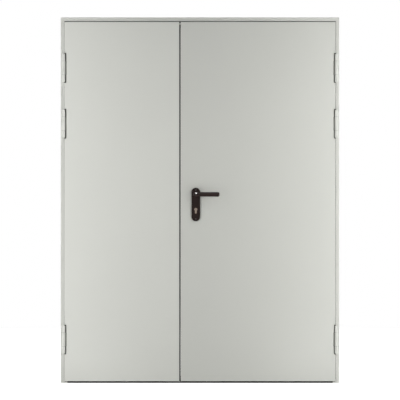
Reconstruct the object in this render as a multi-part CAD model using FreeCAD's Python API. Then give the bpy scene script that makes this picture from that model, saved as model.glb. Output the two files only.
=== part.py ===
import FreeCAD, Part
import math
import os

# Double steel utility door in its own frame: a narrow passive leaf, a wide active leaf.
# X runs to the right, Y into the wall and Z up; the visible front faces -Y.
# The origin is the centre of the threshold's flat underside.

V = FreeCAD.Vector

# Frame
FRAME_WIDTH = 1600.0
FRAME_HEIGHT = 2100.0
FRAME_DEPTH = 95.0
FRAME_SHEET = 2.0
FACE_WIDTH = 38.0
STOP_WIDTH = 20.0
FRAME_BEND = 2.5
MITRE_GROOVE = 0.8
ANCHOR_HOLE_R = 5.5
ANCHOR_COUNT = 4
ANCHOR_LOW = 200.0
ANCHOR_TOP_INSET = 190.0

# Threshold
NOSE_HEIGHT = 7.0
NOSE_SETBACK = 4.0
RIDGE_HEIGHT = 30.0
RIDGE_ROUND = 3.0
NOSE_ROUND = 2.0
NOSE_INNER_ROUND = 1.0

# Leaves
LEAF_THICKNESS = 54.0
LEAF_SHEET = 1.5
LEAF_EDGE_INSET = 22.0
LEAF_TOP_INSET = 27.0
LEAF_BOTTOM = 9.0
LEAF_EDGE_ROUND = 1.0
MEETING_X = -115.0
MEETING_GAP = 8.0
MEETING_SETBACK = 3.0
LAP_CLEARANCE = 6.0
REBATE_CLEARANCE = 5.0
STOP_GAP = 5.0
SEAL_TOUCH = 0.3
SEAL_WIDTH = 11.0
SILL_SEAL_DROP = 4.0
MEETING_SEAL_PLAY = 0.5
MEETING_SEAL_SETBACK = 6.0
MEETING_SEAL_DEPTH = 7.0
CORE_PLAY = 1.0

# Hinges
HINGE_LOW = 250.0
HINGE_TOP_INSET = 291.0
HINGE_PAIR_SPACING = 320.0
HINGE_HEIGHT = 160.0
HINGE_RADIUS = 11.0
HINGE_INSET = 15.5
END_KNUCKLE = 40.0
HINGE_PIN_R = 6.0
PIN_PLAY = 0.05
WASHER_THICK = 1.0
WASHER_STEP = 1.0
NOTCH_SIDE_CLEARANCE = 8.0
NOTCH_END_CLEARANCE = 5.0
STRAP_THICK = 2.5

# Dog bolts on the hinge sides
DOG_FROM_HINGE = 180.0
DOG_R = 5.0
DOG_REACH = 8.0
DOG_PLATE = 3.0
DOG_PLATE_WIDTH = 22.0
DOG_PLATE_HEIGHT = 56.0
DOG_NOSE = 5.0
DOG_NOSE_TAPER = 2.0
DOG_DEPTH = 30.0
DOG_HOLE_CLEARANCE = 6.0
DOG_HOLE_SHIFT = 3.0

# Lock
BACKSET = 84.0
LEVER_LEVEL = 1082.0
LEVER_TO_CYLINDER = 85.0
LOCK_CASE_HEIGHT = 165.0
LOCK_CASE_BELOW_CYLINDER = 45.0
LOCK_CASE_THICK = 15.0
LOCK_CASE_TAIL = 30.0
FOREND_HEIGHT = 235.0
FOREND_MID_ABOVE_CYLINDER = 37.0
FOREND_WIDTH = 24.0
FOREND_THICK = 3.0
LATCH_HEIGHT = 34.0
LATCH_BELOW_LEVER = 6.0
DEAD_HEIGHT = 36.0
DEAD_ABOVE_CYLINDER = 18.0
BOLT_DEPTH = 13.0
BOLT_LENGTH = 45.0
LOCK_RECESS = 0.5
LOCK_BODY_DEPTH = 27.0
LATCH_NOSE = 2.0
LOCK_CORNER = 4.0
STRIKE_PLAY = 2.0
STRIKE_DEPTH = 30.0

# Profile cylinder
CYL_R = 8.5
CYL_WEB = 10.0
CYL_DROP = 33.0
CYL_PROUD = 2.5
CYL_CLEARANCE = 0.3
KEY_SLOT_WIDTH = 2.4
KEY_SLOT_HEIGHT = 9.0
KEY_SLOT_DEPTH = 4.0

# Handle plates and levers
PLATE_WIDTH = 50.0
PLATE_HEIGHT = 192.0
PLATE_THICK = 8.0
PLATE_ABOVE_LEVER = 39.0
PLATE_SCREW_INSET = 13.5
PLATE_EDGE_ROUND = 3.0
SCREW_R = 3.5
SCREW_SINK = 0.5
SCREW_SOCKET_R = 1.8
SCREW_SOCKET_DEPTH = 2.5
NECK_R = 10.0
NECK_PLAY = 0.05
NECK_LENGTH = 42.0
LEVER_LENGTH = 130.0
LEVER_BEND_HEIGHT = 21.0
LEVER_BEND_REACH = 18.0
LEVER_HEIGHT = 24.0
LEVER_GRIP_REACH = 70.0
LEVER_TIP_HEIGHT = 27.0
LEVER_DEPTH = 17.0
SPINDLE_SIDE = 9.0
SPINDLE_ENTRY = 20.0
SPINDLE_HOLE_R = 12.0

# Flush bolts of the passive leaf
FLUSH_BOLT_R = 6.0
FLUSH_BOLT_INSET = 30.0
FLUSH_BOLT_LENGTH = 260.0
FLUSH_CASE_HEIGHT = 180.0
FLUSH_CASE_WIDTH = 20.0
FLUSH_FACE_INSET = 20.0
FLUSH_FACE_MARGIN = 2.0
FLUSH_HOLE_PLAY = 1.0
FLUSH_BOLT_DEPTH = 27.0
KEEPER_LENGTH = 70.0
KEEPER_THICK = 2.0
KEEPER_WIDTH = 22.0
KEEPER_CORNER = 4.0
DROP_SEAL_HEIGHT = 3.0
DROP_SEAL_WIDTH = 14.0
DROP_SEAL_SETBACK = 16.0
DROP_SEAL_END_INSET = 10.0

# Values that follow from the sizes above
LEFT, RIGHT = -1, 1
ANCHOR_SPACING = (FRAME_HEIGHT - ANCHOR_TOP_INSET - ANCHOR_LOW) / (ANCHOR_COUNT - 1)
ANCHOR_LEVELS = [ANCHOR_LOW + i * ANCHOR_SPACING for i in range(ANCHOR_COUNT)]
HINGE_TOP = FRAME_HEIGHT - HINGE_TOP_INSET
HINGE_MIDDLE = HINGE_TOP - HINGE_PAIR_SPACING
HINGE_LEVELS = (HINGE_LOW, HINGE_MIDDLE, HINGE_TOP)
DOG_LEVELS = (HINGE_LOW + DOG_FROM_HINGE, HINGE_MIDDLE - DOG_FROM_HINGE, (HINGE_MIDDLE + HINGE_TOP) / 2)
HALF = FRAME_WIDTH / 2
FRONT = -FRAME_DEPTH / 2
BACK = FRAME_DEPTH / 2
FLANGE = 2 * LEAF_SHEET
LEAF_FRONT = FRONT - LAP_CLEARANCE - FLANGE
LEAF_BACK = LEAF_FRONT + LEAF_THICKNESS
STOP_Y = LEAF_BACK + STOP_GAP
FLANGE_BACK = LEAF_FRONT + FLANGE
REBATE = HALF - FACE_WIDTH
REVEAL = REBATE - STOP_WIDTH
HEAD_REBATE = FRAME_HEIGHT - FACE_WIDTH
HEAD_REVEAL = HEAD_REBATE - STOP_WIDTH
LEAF_EDGE = HALF - LEAF_EDGE_INSET
LEAF_TOP = FRAME_HEIGHT - LEAF_TOP_INSET
BODY_EDGE = REBATE - REBATE_CLEARANCE
BODY_TOP = HEAD_REBATE - REBATE_CLEARANCE
BODY_BOTTOM = NOSE_HEIGHT + REBATE_CLEARANCE + 2.0
HINGE_X = HALF - HINGE_INSET
HINGE_Y = FRONT - HINGE_RADIUS
NOTCH_EDGE = HINGE_X - HINGE_RADIUS - NOTCH_SIDE_CLEARANCE
DOG_Y = LEAF_FRONT + DOG_DEPTH
PASSIVE_STILE = MEETING_X - MEETING_GAP / 2
ACTIVE_STILE = MEETING_X + MEETING_GAP / 2
PASSIVE_BODY = PASSIVE_STILE - MEETING_SETBACK
ACTIVE_BODY = ACTIVE_STILE + MEETING_SETBACK
LEVER_X = ACTIVE_BODY + BACKSET
LOCK_Y = LEAF_FRONT + LOCK_BODY_DEPTH
CYL_LEVEL = LEVER_LEVEL - LEVER_TO_CYLINDER
FOREND_LEVEL = CYL_LEVEL + FOREND_MID_ABOVE_CYLINDER
PLATE_TOP = LEVER_LEVEL + PLATE_ABOVE_LEVER
PLATE_BOTTOM = PLATE_TOP - PLATE_HEIGHT
SCREW_LEVELS = (PLATE_BOTTOM + PLATE_SCREW_INSET, PLATE_TOP - PLATE_SCREW_INSET)
FLUSH_X = PASSIVE_BODY - FLUSH_BOLT_INSET
FLUSH_Y = LEAF_FRONT + FLUSH_BOLT_DEPTH


def block(x0, x1, y0, y1, z0, z1):
    """A box between two corners, given in any order."""
    low = V(min(x0, x1), min(y0, y1), min(z0, z1))
    return Part.makeBox(abs(x1 - x0), abs(y1 - y0), abs(z1 - z0), low)


def rod(radius, length, start, direction):
    return Part.makeCylinder(radius, length, start, direction)


def rounded_face(points, radii, lift):
    """A flat outline whose corners are rounded, laid out by the function lift."""
    count = len(points)
    edges = []
    arcs = []
    for i, corner in enumerate(points):
        before = V(*points[i - 1], 0) - V(*corner, 0)
        after = V(*points[(i + 1) % count], 0) - V(*corner, 0)
        before.normalize()
        after.normalize()
        middle = V(*corner, 0)
        if radii[i] == 0:
            arcs.append((middle, None, middle))
            continue
        half_angle = before.getAngle(after) / 2
        setback = radii[i] / math.tan(half_angle)
        bisector = before + after
        bisector.normalize()
        centre = middle + bisector * (radii[i] / math.sin(half_angle))
        arcs.append((middle + before * setback, centre - bisector * radii[i], middle + after * setback))
    for i, (start, mid, end) in enumerate(arcs):
        following = arcs[(i + 1) % count][0]
        if mid is not None:
            edges.append(Part.Arc(lift(start), lift(mid), lift(end)).toShape())
        edges.append(Part.makeLine(lift(end), lift(following)))
    return Part.Face(Part.Wire(edges))


def frame_profile(lift):
    """The frame's closed sheet section; u runs inwards from the outer edge, y into the wall."""
    outer = [(0, FRONT), (FACE_WIDTH, FRONT), (FACE_WIDTH, STOP_Y),
             (FACE_WIDTH + STOP_WIDTH, STOP_Y), (FACE_WIDTH + STOP_WIDTH, BACK), (0, BACK)]
    t = FRAME_SHEET
    inner = [(t, FRONT + t), (FACE_WIDTH - t, FRONT + t), (FACE_WIDTH - t, STOP_Y + t),
             (FACE_WIDTH + STOP_WIDTH - t, STOP_Y + t), (FACE_WIDTH + STOP_WIDTH - t, BACK - t),
             (t, BACK - t)]
    bend = FRAME_BEND
    tight = FRAME_BEND - FRAME_SHEET
    shell = rounded_face(outer, (bend, bend, 0, bend, bend, bend), lift)
    hollow = rounded_face(inner, (tight, tight, FRAME_SHEET, tight, tight, tight), lift)
    return shell, hollow


def extruded_section(lift, run):
    shell, hollow = frame_profile(lift)
    return shell.extrude(run).cut(hollow.extrude(run))


def mitre_cut(side):
    """The wedge above the 45 degree line at a top corner, to be taken off a jamb."""
    reach = 2 * (FACE_WIDTH + STOP_WIDTH)
    corner = V(side * HALF, FRONT - 1, FRAME_HEIGHT)
    low = corner + V(-side * reach, 0, -reach)
    top = corner + V(-side * reach, 0, reach)
    past = corner + V(side * reach, 0, reach)
    wire = Part.makePolygon([low, past, top, low])
    return Part.Face(wire).extrude(V(0, FRAME_DEPTH + 2, 0))


def mitre_groove(side):
    """The fine line left open along the mitre on the front face."""
    length = FACE_WIDTH * math.sqrt(2)
    groove = block(0, length, 0, MITRE_GROOVE, -MITRE_GROOVE / 2, MITRE_GROOVE / 2)
    groove.rotate(V(0, 0, 0), V(0, 1, 0), 45 if side == LEFT else 135)
    groove.translate(V(side * HALF, FRONT, FRAME_HEIGHT))
    return groove


def jamb(side):
    """One upright of the frame, mitred at the top, with holes for dog bolts and wall anchors."""
    def lift(p):
        return V(side * (HALF - p.x), p.y, 0)
    body = extruded_section(lift, V(0, 0, FRAME_HEIGHT))
    body = body.cut(mitre_cut(side)).cut(mitre_groove(side))
    for level in DOG_LEVELS:
        start = V(side * (REBATE - 1), DOG_Y - DOG_HOLE_SHIFT, level)
        body = body.cut(rod(DOG_R + DOG_HOLE_CLEARANCE, FRAME_SHEET + 2, start, V(side, 0, 0)))
    for level in ANCHOR_LEVELS:
        start = V(side * (HALF - FRAME_SHEET - 1), 0, level)
        body = body.cut(rod(ANCHOR_HOLE_R, FRAME_SHEET + 2, start, V(side, 0, 0)))
    return body


def frame_head():
    """The frame's top member, mitred to both jambs."""
    def lift(p):
        return V(-HALF, p.y, FRAME_HEIGHT - p.x)
    body = extruded_section(lift, V(FRAME_WIDTH, 0, 0))
    for side in (LEFT, RIGHT):
        keep = V(side * HALF, FRONT - 1, FRAME_HEIGHT)
        reach = 2 * (FACE_WIDTH + STOP_WIDTH)
        wire = Part.makePolygon([keep + V(side * reach, 0, reach), keep + V(-side * reach, 0, -reach),
                                 keep + V(side * reach, 0, -reach), keep + V(side * reach, 0, reach)])
        body = body.cut(Part.Face(wire).extrude(V(0, FRAME_DEPTH + 2, 0)))
        body = body.cut(mitre_groove(side))
    hole = rod(FLUSH_BOLT_R + FLUSH_HOLE_PLAY, FRAME_SHEET + 2, V(FLUSH_X, FLUSH_Y, HEAD_REBATE - 1), V(0, 0, 1))
    return body.cut(hole)


def threshold():
    """The flat sill between the jambs, with the ridge that the leaves close against."""
    def lift(p):
        return V(-REBATE, p.x, p.y)
    front = FRONT + NOSE_SETBACK
    outline = [(front, 0), (BACK, 0), (BACK, RIDGE_HEIGHT), (STOP_Y, RIDGE_HEIGHT),
               (STOP_Y, NOSE_HEIGHT), (front, NOSE_HEIGHT)]
    radii = (0, 0, RIDGE_ROUND, RIDGE_ROUND, NOSE_INNER_ROUND, NOSE_ROUND)
    sill = rounded_face(outline, radii, lift).extrude(V(2 * REBATE, 0, 0))
    t = FRAME_SHEET
    sill = sill.cut(block(-HALF, HALF, STOP_Y + t, BACK - t, t, RIDGE_HEIGHT - t))
    for side in (LEFT, RIGHT):
        sill = sill.cut(block(side * REVEAL, side * HALF, STOP_Y, BACK + 1, -1, RIDGE_HEIGHT + 1))
    socket = rod(FLUSH_BOLT_R + FLUSH_HOLE_PLAY, NOSE_HEIGHT + 2, V(FLUSH_X, FLUSH_Y, -1), V(0, 0, 1))
    return sill.cut(socket)


def frame_gasket():
    """The seal that runs round the stop, with a soft round nose towards the leaves."""
    depth = STOP_GAP - SEAL_TOUCH
    mid = (STOP_WIDTH - SEAL_WIDTH) / 2
    inner = REBATE - mid - SEAL_WIDTH
    outer = REBATE - mid
    strips = []
    top = HEAD_REBATE - mid
    for side in (LEFT, RIGHT):
        strips.append(block(side * inner, side * outer, STOP_Y - depth, STOP_Y, RIDGE_HEIGHT, top))
    strips.append(block(-inner, inner, STOP_Y - depth, STOP_Y, top - SEAL_WIDTH, top))
    sill_top = RIDGE_HEIGHT - SILL_SEAL_DROP
    strips.append(block(-REBATE, REBATE, STOP_Y - depth, STOP_Y, sill_top - SEAL_WIDTH, sill_top))
    ring = strips[0].multiFuse(strips[1:3]).removeSplitter()
    return Part.Compound([ring, strips[3]])


def hinge_axis_point(side, z):
    return V(side * HINGE_X, HINGE_Y, z)


def knuckle(side, low, high, bore):
    body = rod(HINGE_RADIUS, high - low, hinge_axis_point(side, low), V(0, 0, 1))
    foot = block(side * HINGE_X - HINGE_RADIUS, side * HINGE_X + HINGE_RADIUS, HINGE_Y, FRONT, low, high)
    hole = rod(bore, high - low + 2, hinge_axis_point(side, low - 1), V(0, 0, 1))
    return body, foot, hole


def frame_knuckles(side):
    """The outer knuckles of the three hinges, each with a foot welded to the frame's face."""
    parts = []
    for level in HINGE_LEVELS:
        low = level - HINGE_HEIGHT / 2
        high = level + HINGE_HEIGHT / 2
        for z0, z1 in ((low, low + END_KNUCKLE), (high - END_KNUCKLE, high)):
            body, foot, hole = knuckle(side, z0, z1, HINGE_PIN_R)
            parts.append(body.fuse(foot).removeSplitter().cut(hole))
    return Part.Compound(parts)


def hinge_pins(side):
    parts = []
    for level in HINGE_LEVELS:
        pin = rod(HINGE_PIN_R, HINGE_HEIGHT, hinge_axis_point(side, level - HINGE_HEIGHT / 2), V(0, 0, 1))
        parts.append(pin)
    return Part.Compound(parts)


def hinge_washers(side):
    """Bearing rings between the knuckles; the lower one carries the leaf."""
    parts = []
    for level in HINGE_LEVELS:
        for z in (level - HINGE_HEIGHT / 2 + END_KNUCKLE, level + HINGE_HEIGHT / 2 - END_KNUCKLE - WASHER_THICK):
            ring = rod(HINGE_RADIUS - WASHER_STEP, WASHER_THICK, hinge_axis_point(side, z), V(0, 0, 1))
            hole = rod(HINGE_PIN_R + PIN_PLAY, WASHER_THICK + 2, hinge_axis_point(side, z - 1), V(0, 0, 1))
            parts.append(ring.cut(hole))
    return Part.Compound(parts)


def leaf_knuckles(side):
    """The middle knuckles, each with a strap welded behind the leaf's flange and to its edge."""
    parts = []
    for level in HINGE_LEVELS:
        z0 = level - HINGE_HEIGHT / 2 + END_KNUCKLE + WASHER_THICK
        z1 = level + HINGE_HEIGHT / 2 - END_KNUCKLE - WASHER_THICK
        body, foot, hole = knuckle(side, z0, z1, HINGE_PIN_R + PIN_PLAY)
        strap = block(side * HINGE_X, side * BODY_EDGE, FLANGE_BACK, FLANGE_BACK + STRAP_THICK, z0, z1)
        parts.append(body.fuse(strap).removeSplitter().cut(hole))
    return Part.Compound(parts)


def leaf_plan(side):
    """Hinge edge and meeting edge of a leaf's face and of its body."""
    if side == LEFT:
        return -LEAF_EDGE, PASSIVE_STILE, -BODY_EDGE, PASSIVE_BODY
    return LEAF_EDGE, ACTIVE_STILE, BODY_EDGE, ACTIVE_BODY


def front_sheet(side):
    """The leaf's front tray: the face with its hemmed flange, and the four edges behind it."""
    hinge, stile, body_hinge, body_stile = leaf_plan(side)
    face = block(hinge, stile, LEAF_FRONT, LEAF_FRONT + LEAF_SHEET, LEAF_BOTTOM, LEAF_TOP)
    rims = [e for e in face.Edges if e.BoundBox.YMax < LEAF_FRONT + 0.01]
    face = face.makeFillet(LEAF_EDGE_ROUND, rims)
    hem = block(hinge, stile, LEAF_FRONT + LEAF_SHEET, FLANGE_BACK, LEAF_BOTTOM, LEAF_TOP)
    tray = block(body_hinge, body_stile, LEAF_FRONT + LEAF_SHEET, LEAF_BACK - LEAF_SHEET, BODY_BOTTOM, BODY_TOP)
    inside = leaf_hollow(side)
    sheet = face.fuse(hem).fuse(tray).cut(inside)
    for level in HINGE_LEVELS:
        reach = HINGE_HEIGHT / 2 + NOTCH_END_CLEARANCE
        notch = block(side * NOTCH_EDGE, side * HALF, LEAF_FRONT - 1, FLANGE_BACK + 1, level - reach, level + reach)
        sheet = sheet.cut(notch)
    return sheet.removeSplitter()


def leaf_hollow(side):
    """The space that the core fills between the sheets."""
    hinge, stile, body_hinge, body_stile = leaf_plan(side)
    sign = 1 if body_stile > body_hinge else -1
    return block(body_hinge + sign * LEAF_SHEET, body_stile - sign * LEAF_SHEET,
                 LEAF_FRONT + LEAF_SHEET, LEAF_BACK - LEAF_SHEET,
                 BODY_BOTTOM + LEAF_SHEET, BODY_TOP - LEAF_SHEET)


def back_pan(side):
    hinge, stile, body_hinge, body_stile = leaf_plan(side)
    pan = block(body_hinge, body_stile, LEAF_BACK - LEAF_SHEET, LEAF_BACK, BODY_BOTTOM, BODY_TOP)
    rims = [e for e in pan.Edges if e.BoundBox.YMin > LEAF_BACK - 0.01]
    return pan.makeFillet(LEAF_EDGE_ROUND, rims)


def lock_case():
    """The mortise lock's case, behind its forend in the active leaf's edge."""
    z0 = CYL_LEVEL - LOCK_CASE_BELOW_CYLINDER
    x0 = ACTIVE_BODY + LOCK_RECESS + FOREND_THICK
    half = LOCK_CASE_THICK / 2
    case = block(x0, LEVER_X + LOCK_CASE_TAIL, LOCK_Y - half, LOCK_Y + half, z0, z0 + LOCK_CASE_HEIGHT)
    case = cut_all(case, lock_openings())
    for level, height in bolt_plan():
        case = case.cut(lock_bolt(level, height, LOCK_RECESS))
    return case


def bolt_plan():
    """Level and height of the latch and of the dead bolt."""
    return ((LEVER_LEVEL - LATCH_BELOW_LEVER, LATCH_HEIGHT), (CYL_LEVEL + DEAD_ABOVE_CYLINDER, DEAD_HEIGHT))


def lock_bolt(level, height, play):
    """A bolt drawn back flush with the forend; play widens it into the hole it slides in."""
    front = ACTIVE_BODY + LOCK_RECESS
    half = BOLT_DEPTH / 2 + play
    return block(front, front + BOLT_LENGTH + play, LOCK_Y - half, LOCK_Y + half,
                 level - height / 2 - play, level + height / 2 + play)


def latch_bolt():
    """The latch with its slanted nose, which the strike pushes back as the leaf closes."""
    level = LEVER_LEVEL - LATCH_BELOW_LEVER
    body = lock_bolt(level, LATCH_HEIGHT, 0)
    x0 = ACTIVE_BODY + LOCK_RECESS
    y1 = LOCK_Y + BOLT_DEPTH / 2
    wire = Part.makePolygon([V(x0, y1, 0), V(x0 + BOLT_DEPTH, y1, 0), V(x0, y1 - BOLT_DEPTH + LATCH_NOSE, 0),
                             V(x0, y1, 0)])
    wedge = Part.Face(wire).extrude(V(0, 0, LATCH_HEIGHT))
    wedge.translate(V(0, 0, level - LATCH_HEIGHT / 2))
    return body.cut(wedge)


def dead_bolt():
    return lock_bolt(CYL_LEVEL + DEAD_ABOVE_CYLINDER, DEAD_HEIGHT, 0)


def lock_forend():
    """The long face plate let into the leaf's edge, with its two bolt openings and screw holes."""
    x0 = ACTIVE_BODY + LOCK_RECESS
    half = FOREND_WIDTH / 2
    plate = block(x0, x0 + FOREND_THICK, LOCK_Y - half, LOCK_Y + half,
                  FOREND_LEVEL - FOREND_HEIGHT / 2, FOREND_LEVEL + FOREND_HEIGHT / 2)
    long_edges = [e for e in plate.Edges if abs(e.tangentAt(e.FirstParameter).x) > 0.9]
    plate = plate.makeFillet(LOCK_CORNER, long_edges)
    for level, height in bolt_plan():
        plate = plate.cut(lock_bolt(level, height, LOCK_RECESS))
    return plate


def forend_pocket():
    """The slot in the leaf's edge that takes the forend and the lock case."""
    half = FOREND_WIDTH / 2
    return block(ACTIVE_BODY - 1, ACTIVE_BODY + LOCK_RECESS + FOREND_THICK, LOCK_Y - half, LOCK_Y + half,
                 FOREND_LEVEL - FOREND_HEIGHT / 2, FOREND_LEVEL + FOREND_HEIGHT / 2)


def cylinder_section(play, y0, y1):
    """The keyhole shaped section of a profile cylinder, run from y0 to y1."""
    top = rod(CYL_R + play, y1 - y0, V(LEVER_X, y0, CYL_LEVEL), V(0, 1, 0))
    half = CYL_WEB / 2 + play
    foot = CYL_LEVEL + CYL_R - CYL_DROP + CYL_WEB / 2
    web = block(LEVER_X - half, LEVER_X + half, y0, y1, foot, CYL_LEVEL)
    end = rod(half, y1 - y0, V(LEVER_X, y0, foot), V(0, 1, 0))
    return top.multiFuse([web, end]).removeSplitter()


def plate_stack():
    """Front face of the front plate and back face of the back plate."""
    return LEAF_FRONT - PLATE_THICK, LEAF_BACK + PLATE_THICK


def profile_cylinder():
    """The lock cylinder with a key slot in each end."""
    front, back = plate_stack()
    y0 = front - CYL_PROUD
    y1 = back + CYL_PROUD
    body = cylinder_section(0, y0, y1)
    half = KEY_SLOT_WIDTH / 2
    tall = KEY_SLOT_HEIGHT / 2
    for y in (y0 - 1, y1 - KEY_SLOT_DEPTH):
        slot = block(LEVER_X - half, LEVER_X + half, y, y + KEY_SLOT_DEPTH + 1, CYL_LEVEL - tall, CYL_LEVEL + tall)
        body = body.cut(slot)
    return body


def stadium(y0, y1, margin):
    """The handle plate's long outline with round ends."""
    half = PLATE_WIDTH / 2 - margin
    r = PLATE_WIDTH / 2
    low = V(LEVER_X, y0, PLATE_BOTTOM + r)
    high = V(LEVER_X, y0, PLATE_TOP - r)
    span = V(0, y1 - y0, 0)
    middle = block(LEVER_X - half, LEVER_X + half, y0, y1, low.z, high.z)
    ends = [rod(half, y1 - y0, p, span) for p in (low, high)]
    return middle.multiFuse(ends).removeSplitter()


def handle_plate(front_side):
    """A stadium shaped plate with softened edges, screwed to the leaf."""
    front, back = plate_stack()
    y0, y1 = (front, LEAF_FRONT) if front_side else (LEAF_BACK, back)
    plate = stadium(y0, y1, 0)
    outer = front if front_side else back
    rim = [e for e in plate.Edges if abs(e.BoundBox.YMin - outer) < 0.01 and abs(e.BoundBox.YMax - outer) < 0.01]
    plate = plate.makeFillet(PLATE_EDGE_ROUND, rim)
    plate = plate.cut(rod(NECK_R + NECK_PLAY, PLATE_THICK + 2, V(LEVER_X, y0 - 1, LEVER_LEVEL), V(0, 1, 0)))
    plate = plate.cut(cylinder_section(CYL_CLEARANCE, y0 - 1, y1 + 1))
    for level in SCREW_LEVELS:
        plate = plate.cut(rod(SCREW_R, PLATE_THICK + 2, V(LEVER_X, y0 - 1, level), V(0, 1, 0)))
    return plate


def plate_screws():
    """Through screws that clamp the two plates on the leaf, each with a recess for the key."""
    front, back = plate_stack()
    parts = []
    for level in SCREW_LEVELS:
        head = front + SCREW_SINK
        screw = rod(SCREW_R, back - front - 2 * SCREW_SINK, V(LEVER_X, head, level), V(0, 1, 0))
        socket = rod(SCREW_SOCKET_R, SCREW_SOCKET_DEPTH + 1, V(LEVER_X, head - 1, level), V(0, 1, 0))
        screw = screw.cut(socket)
        parts.append(screw)
    return Part.Compound(parts)


def lever_section(along, height, y):
    """An upright oval across the grip, at a distance along it from the turning axis."""
    edge = Part.Ellipse(V(0, 0, 0), height / 2, LEVER_DEPTH / 2).toShape()
    turn = FreeCAD.Rotation(V(0, 0, 1), V(0, -1, 0), V(1, 0, 0))
    edge.Placement = FreeCAD.Placement(V(LEVER_X + along, y, LEVER_LEVEL), turn)
    return Part.Wire([edge])


def front_lever():
    """A neck through the plate, a bend, and a flat oval grip that thickens to a round tip."""
    front, back = plate_stack()
    grip_y = front - NECK_LENGTH
    tip_reach = LEVER_LENGTH - LEVER_TIP_HEIGHT / 2
    neck = rod(NECK_R, LEAF_FRONT - 1.0 - grip_y, V(LEVER_X, LEAF_FRONT - 1.0, LEVER_LEVEL), V(0, -1, 0))
    stations = ((0.0, LEVER_BEND_HEIGHT), (LEVER_BEND_REACH, (LEVER_BEND_HEIGHT + LEVER_HEIGHT) / 2),
                (LEVER_GRIP_REACH, LEVER_HEIGHT), (tip_reach, LEVER_TIP_HEIGHT))
    grip = Part.makeLoft([lever_section(along, height, grip_y) for along, height in stations], True, False)
    tip = half_ball(LEVER_TIP_HEIGHT / 2, tip_reach, grip_y, 1)
    bend = half_ball(LEVER_BEND_HEIGHT / 2, 0.0, grip_y, -1)
    half = SPINDLE_SIDE / 2
    socket = block(LEVER_X - half, LEVER_X + half, LEAF_FRONT, front - SPINDLE_ENTRY,
                   LEVER_LEVEL - half, LEVER_LEVEL + half)
    return neck.multiFuse([grip.fuse(tip).fuse(bend)]).cut(socket)


def half_ball(radius, along, y, sign):
    """Half of a ball pressed to the grip's depth, flat where it closes the grip's end."""
    flatten = FreeCAD.Matrix()
    flatten.scale(1.0, LEVER_DEPTH / 2 / radius, 1.0)
    ball = Part.makeSphere(radius)
    ball.rotate(V(0, 0, 0), V(0, 1, 0), 90)
    keep = block(0, sign * 2 * radius, -2 * radius, 2 * radius, -2 * radius, 2 * radius)
    ball = ball.common(keep).transformGeometry(flatten)
    ball.translate(V(LEVER_X + along, y, LEVER_LEVEL))
    return ball


def back_lever():
    middle = (LEAF_FRONT + LEAF_BACK) / 2
    return front_lever().mirror(V(0, middle, 0), V(0, 1, 0))


def spindle():
    """The square bar that joins the two levers through the lock."""
    half = SPINDLE_SIDE / 2
    reach = PLATE_THICK + SPINDLE_ENTRY
    return block(LEVER_X - half, LEVER_X + half, LEAF_FRONT - reach, LEAF_BACK + reach,
                 LEVER_LEVEL - half, LEVER_LEVEL + half)


def lock_openings():
    """Everything that passes through the active leaf at the lock, as one cutting shape."""
    y0 = LEAF_FRONT - 1
    y1 = LEAF_BACK + 1
    cuts = [rod(SPINDLE_HOLE_R, y1 - y0, V(LEVER_X, y0, LEVER_LEVEL), V(0, 1, 0)),
            cylinder_section(CYL_CLEARANCE, y0, y1)]
    for level in SCREW_LEVELS:
        cuts.append(rod(SCREW_R, y1 - y0, V(LEVER_X, y0, level), V(0, 1, 0)))
    return cuts


def dog_plate(side, level):
    """The plate behind the leaf's edge that carries one dog bolt."""
    inner = side * (BODY_EDGE - LEAF_SHEET)
    half = DOG_PLATE_WIDTH / 2
    tall = DOG_PLATE_HEIGHT / 2
    return block(inner, inner - side * DOG_PLATE, DOG_Y - half, DOG_Y + half, level - tall, level + tall)


def dog_bolts(side):
    """Fixed bolts in the hinge edge: a plate on the leaf's edge and a tapered stud."""
    parts = []
    edge = side * BODY_EDGE
    for level in DOG_LEVELS:
        inner = edge - side * LEAF_SHEET
        straight = LEAF_SHEET + REBATE_CLEARANCE + DOG_REACH - DOG_NOSE
        stud = rod(DOG_R, straight, V(inner, DOG_Y, level), V(side, 0, 0))
        tip = V(inner + side * straight, DOG_Y, level)
        nose = Part.makeCone(DOG_R, DOG_R - DOG_NOSE_TAPER, DOG_NOSE, tip, V(side, 0, 0))
        parts.append(dog_plate(side, level).multiFuse([stud, nose]).removeSplitter())
    return Part.Compound(parts)


def dog_holes(side):
    return [rod(DOG_R, LEAF_SHEET + 2, V(side * (BODY_EDGE + 1), DOG_Y, level), V(-side, 0, 0))
            for level in DOG_LEVELS]


def flush_bolt(upper):
    """A passive leaf bolt drawn back into the leaf, with its lever case in the meeting edge."""
    if upper:
        tip, sign = BODY_TOP, -1
    else:
        tip, sign = BODY_BOTTOM, 1
    bar = rod(FLUSH_BOLT_R, FLUSH_BOLT_LENGTH, V(FLUSH_X, FLUSH_Y, tip), V(0, 0, sign))
    z0 = tip + sign * FLUSH_BOLT_LENGTH
    half = FLUSH_CASE_WIDTH / 2
    case = block(PASSIVE_BODY - LEAF_SHEET, FLUSH_X - FLUSH_BOLT_R, FLUSH_Y - half, FLUSH_Y + half,
                 z0, z0 + sign * FLUSH_CASE_HEIGHT)
    face = block(PASSIVE_BODY, PASSIVE_BODY - LEAF_SHEET, FLUSH_Y - half + FLUSH_FACE_MARGIN,
                 FLUSH_Y + half - FLUSH_FACE_MARGIN, z0 + sign * FLUSH_FACE_INSET,
                 z0 + sign * (FLUSH_CASE_HEIGHT - FLUSH_FACE_INSET))
    return bar.multiFuse([case, face]).removeSplitter()


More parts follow.
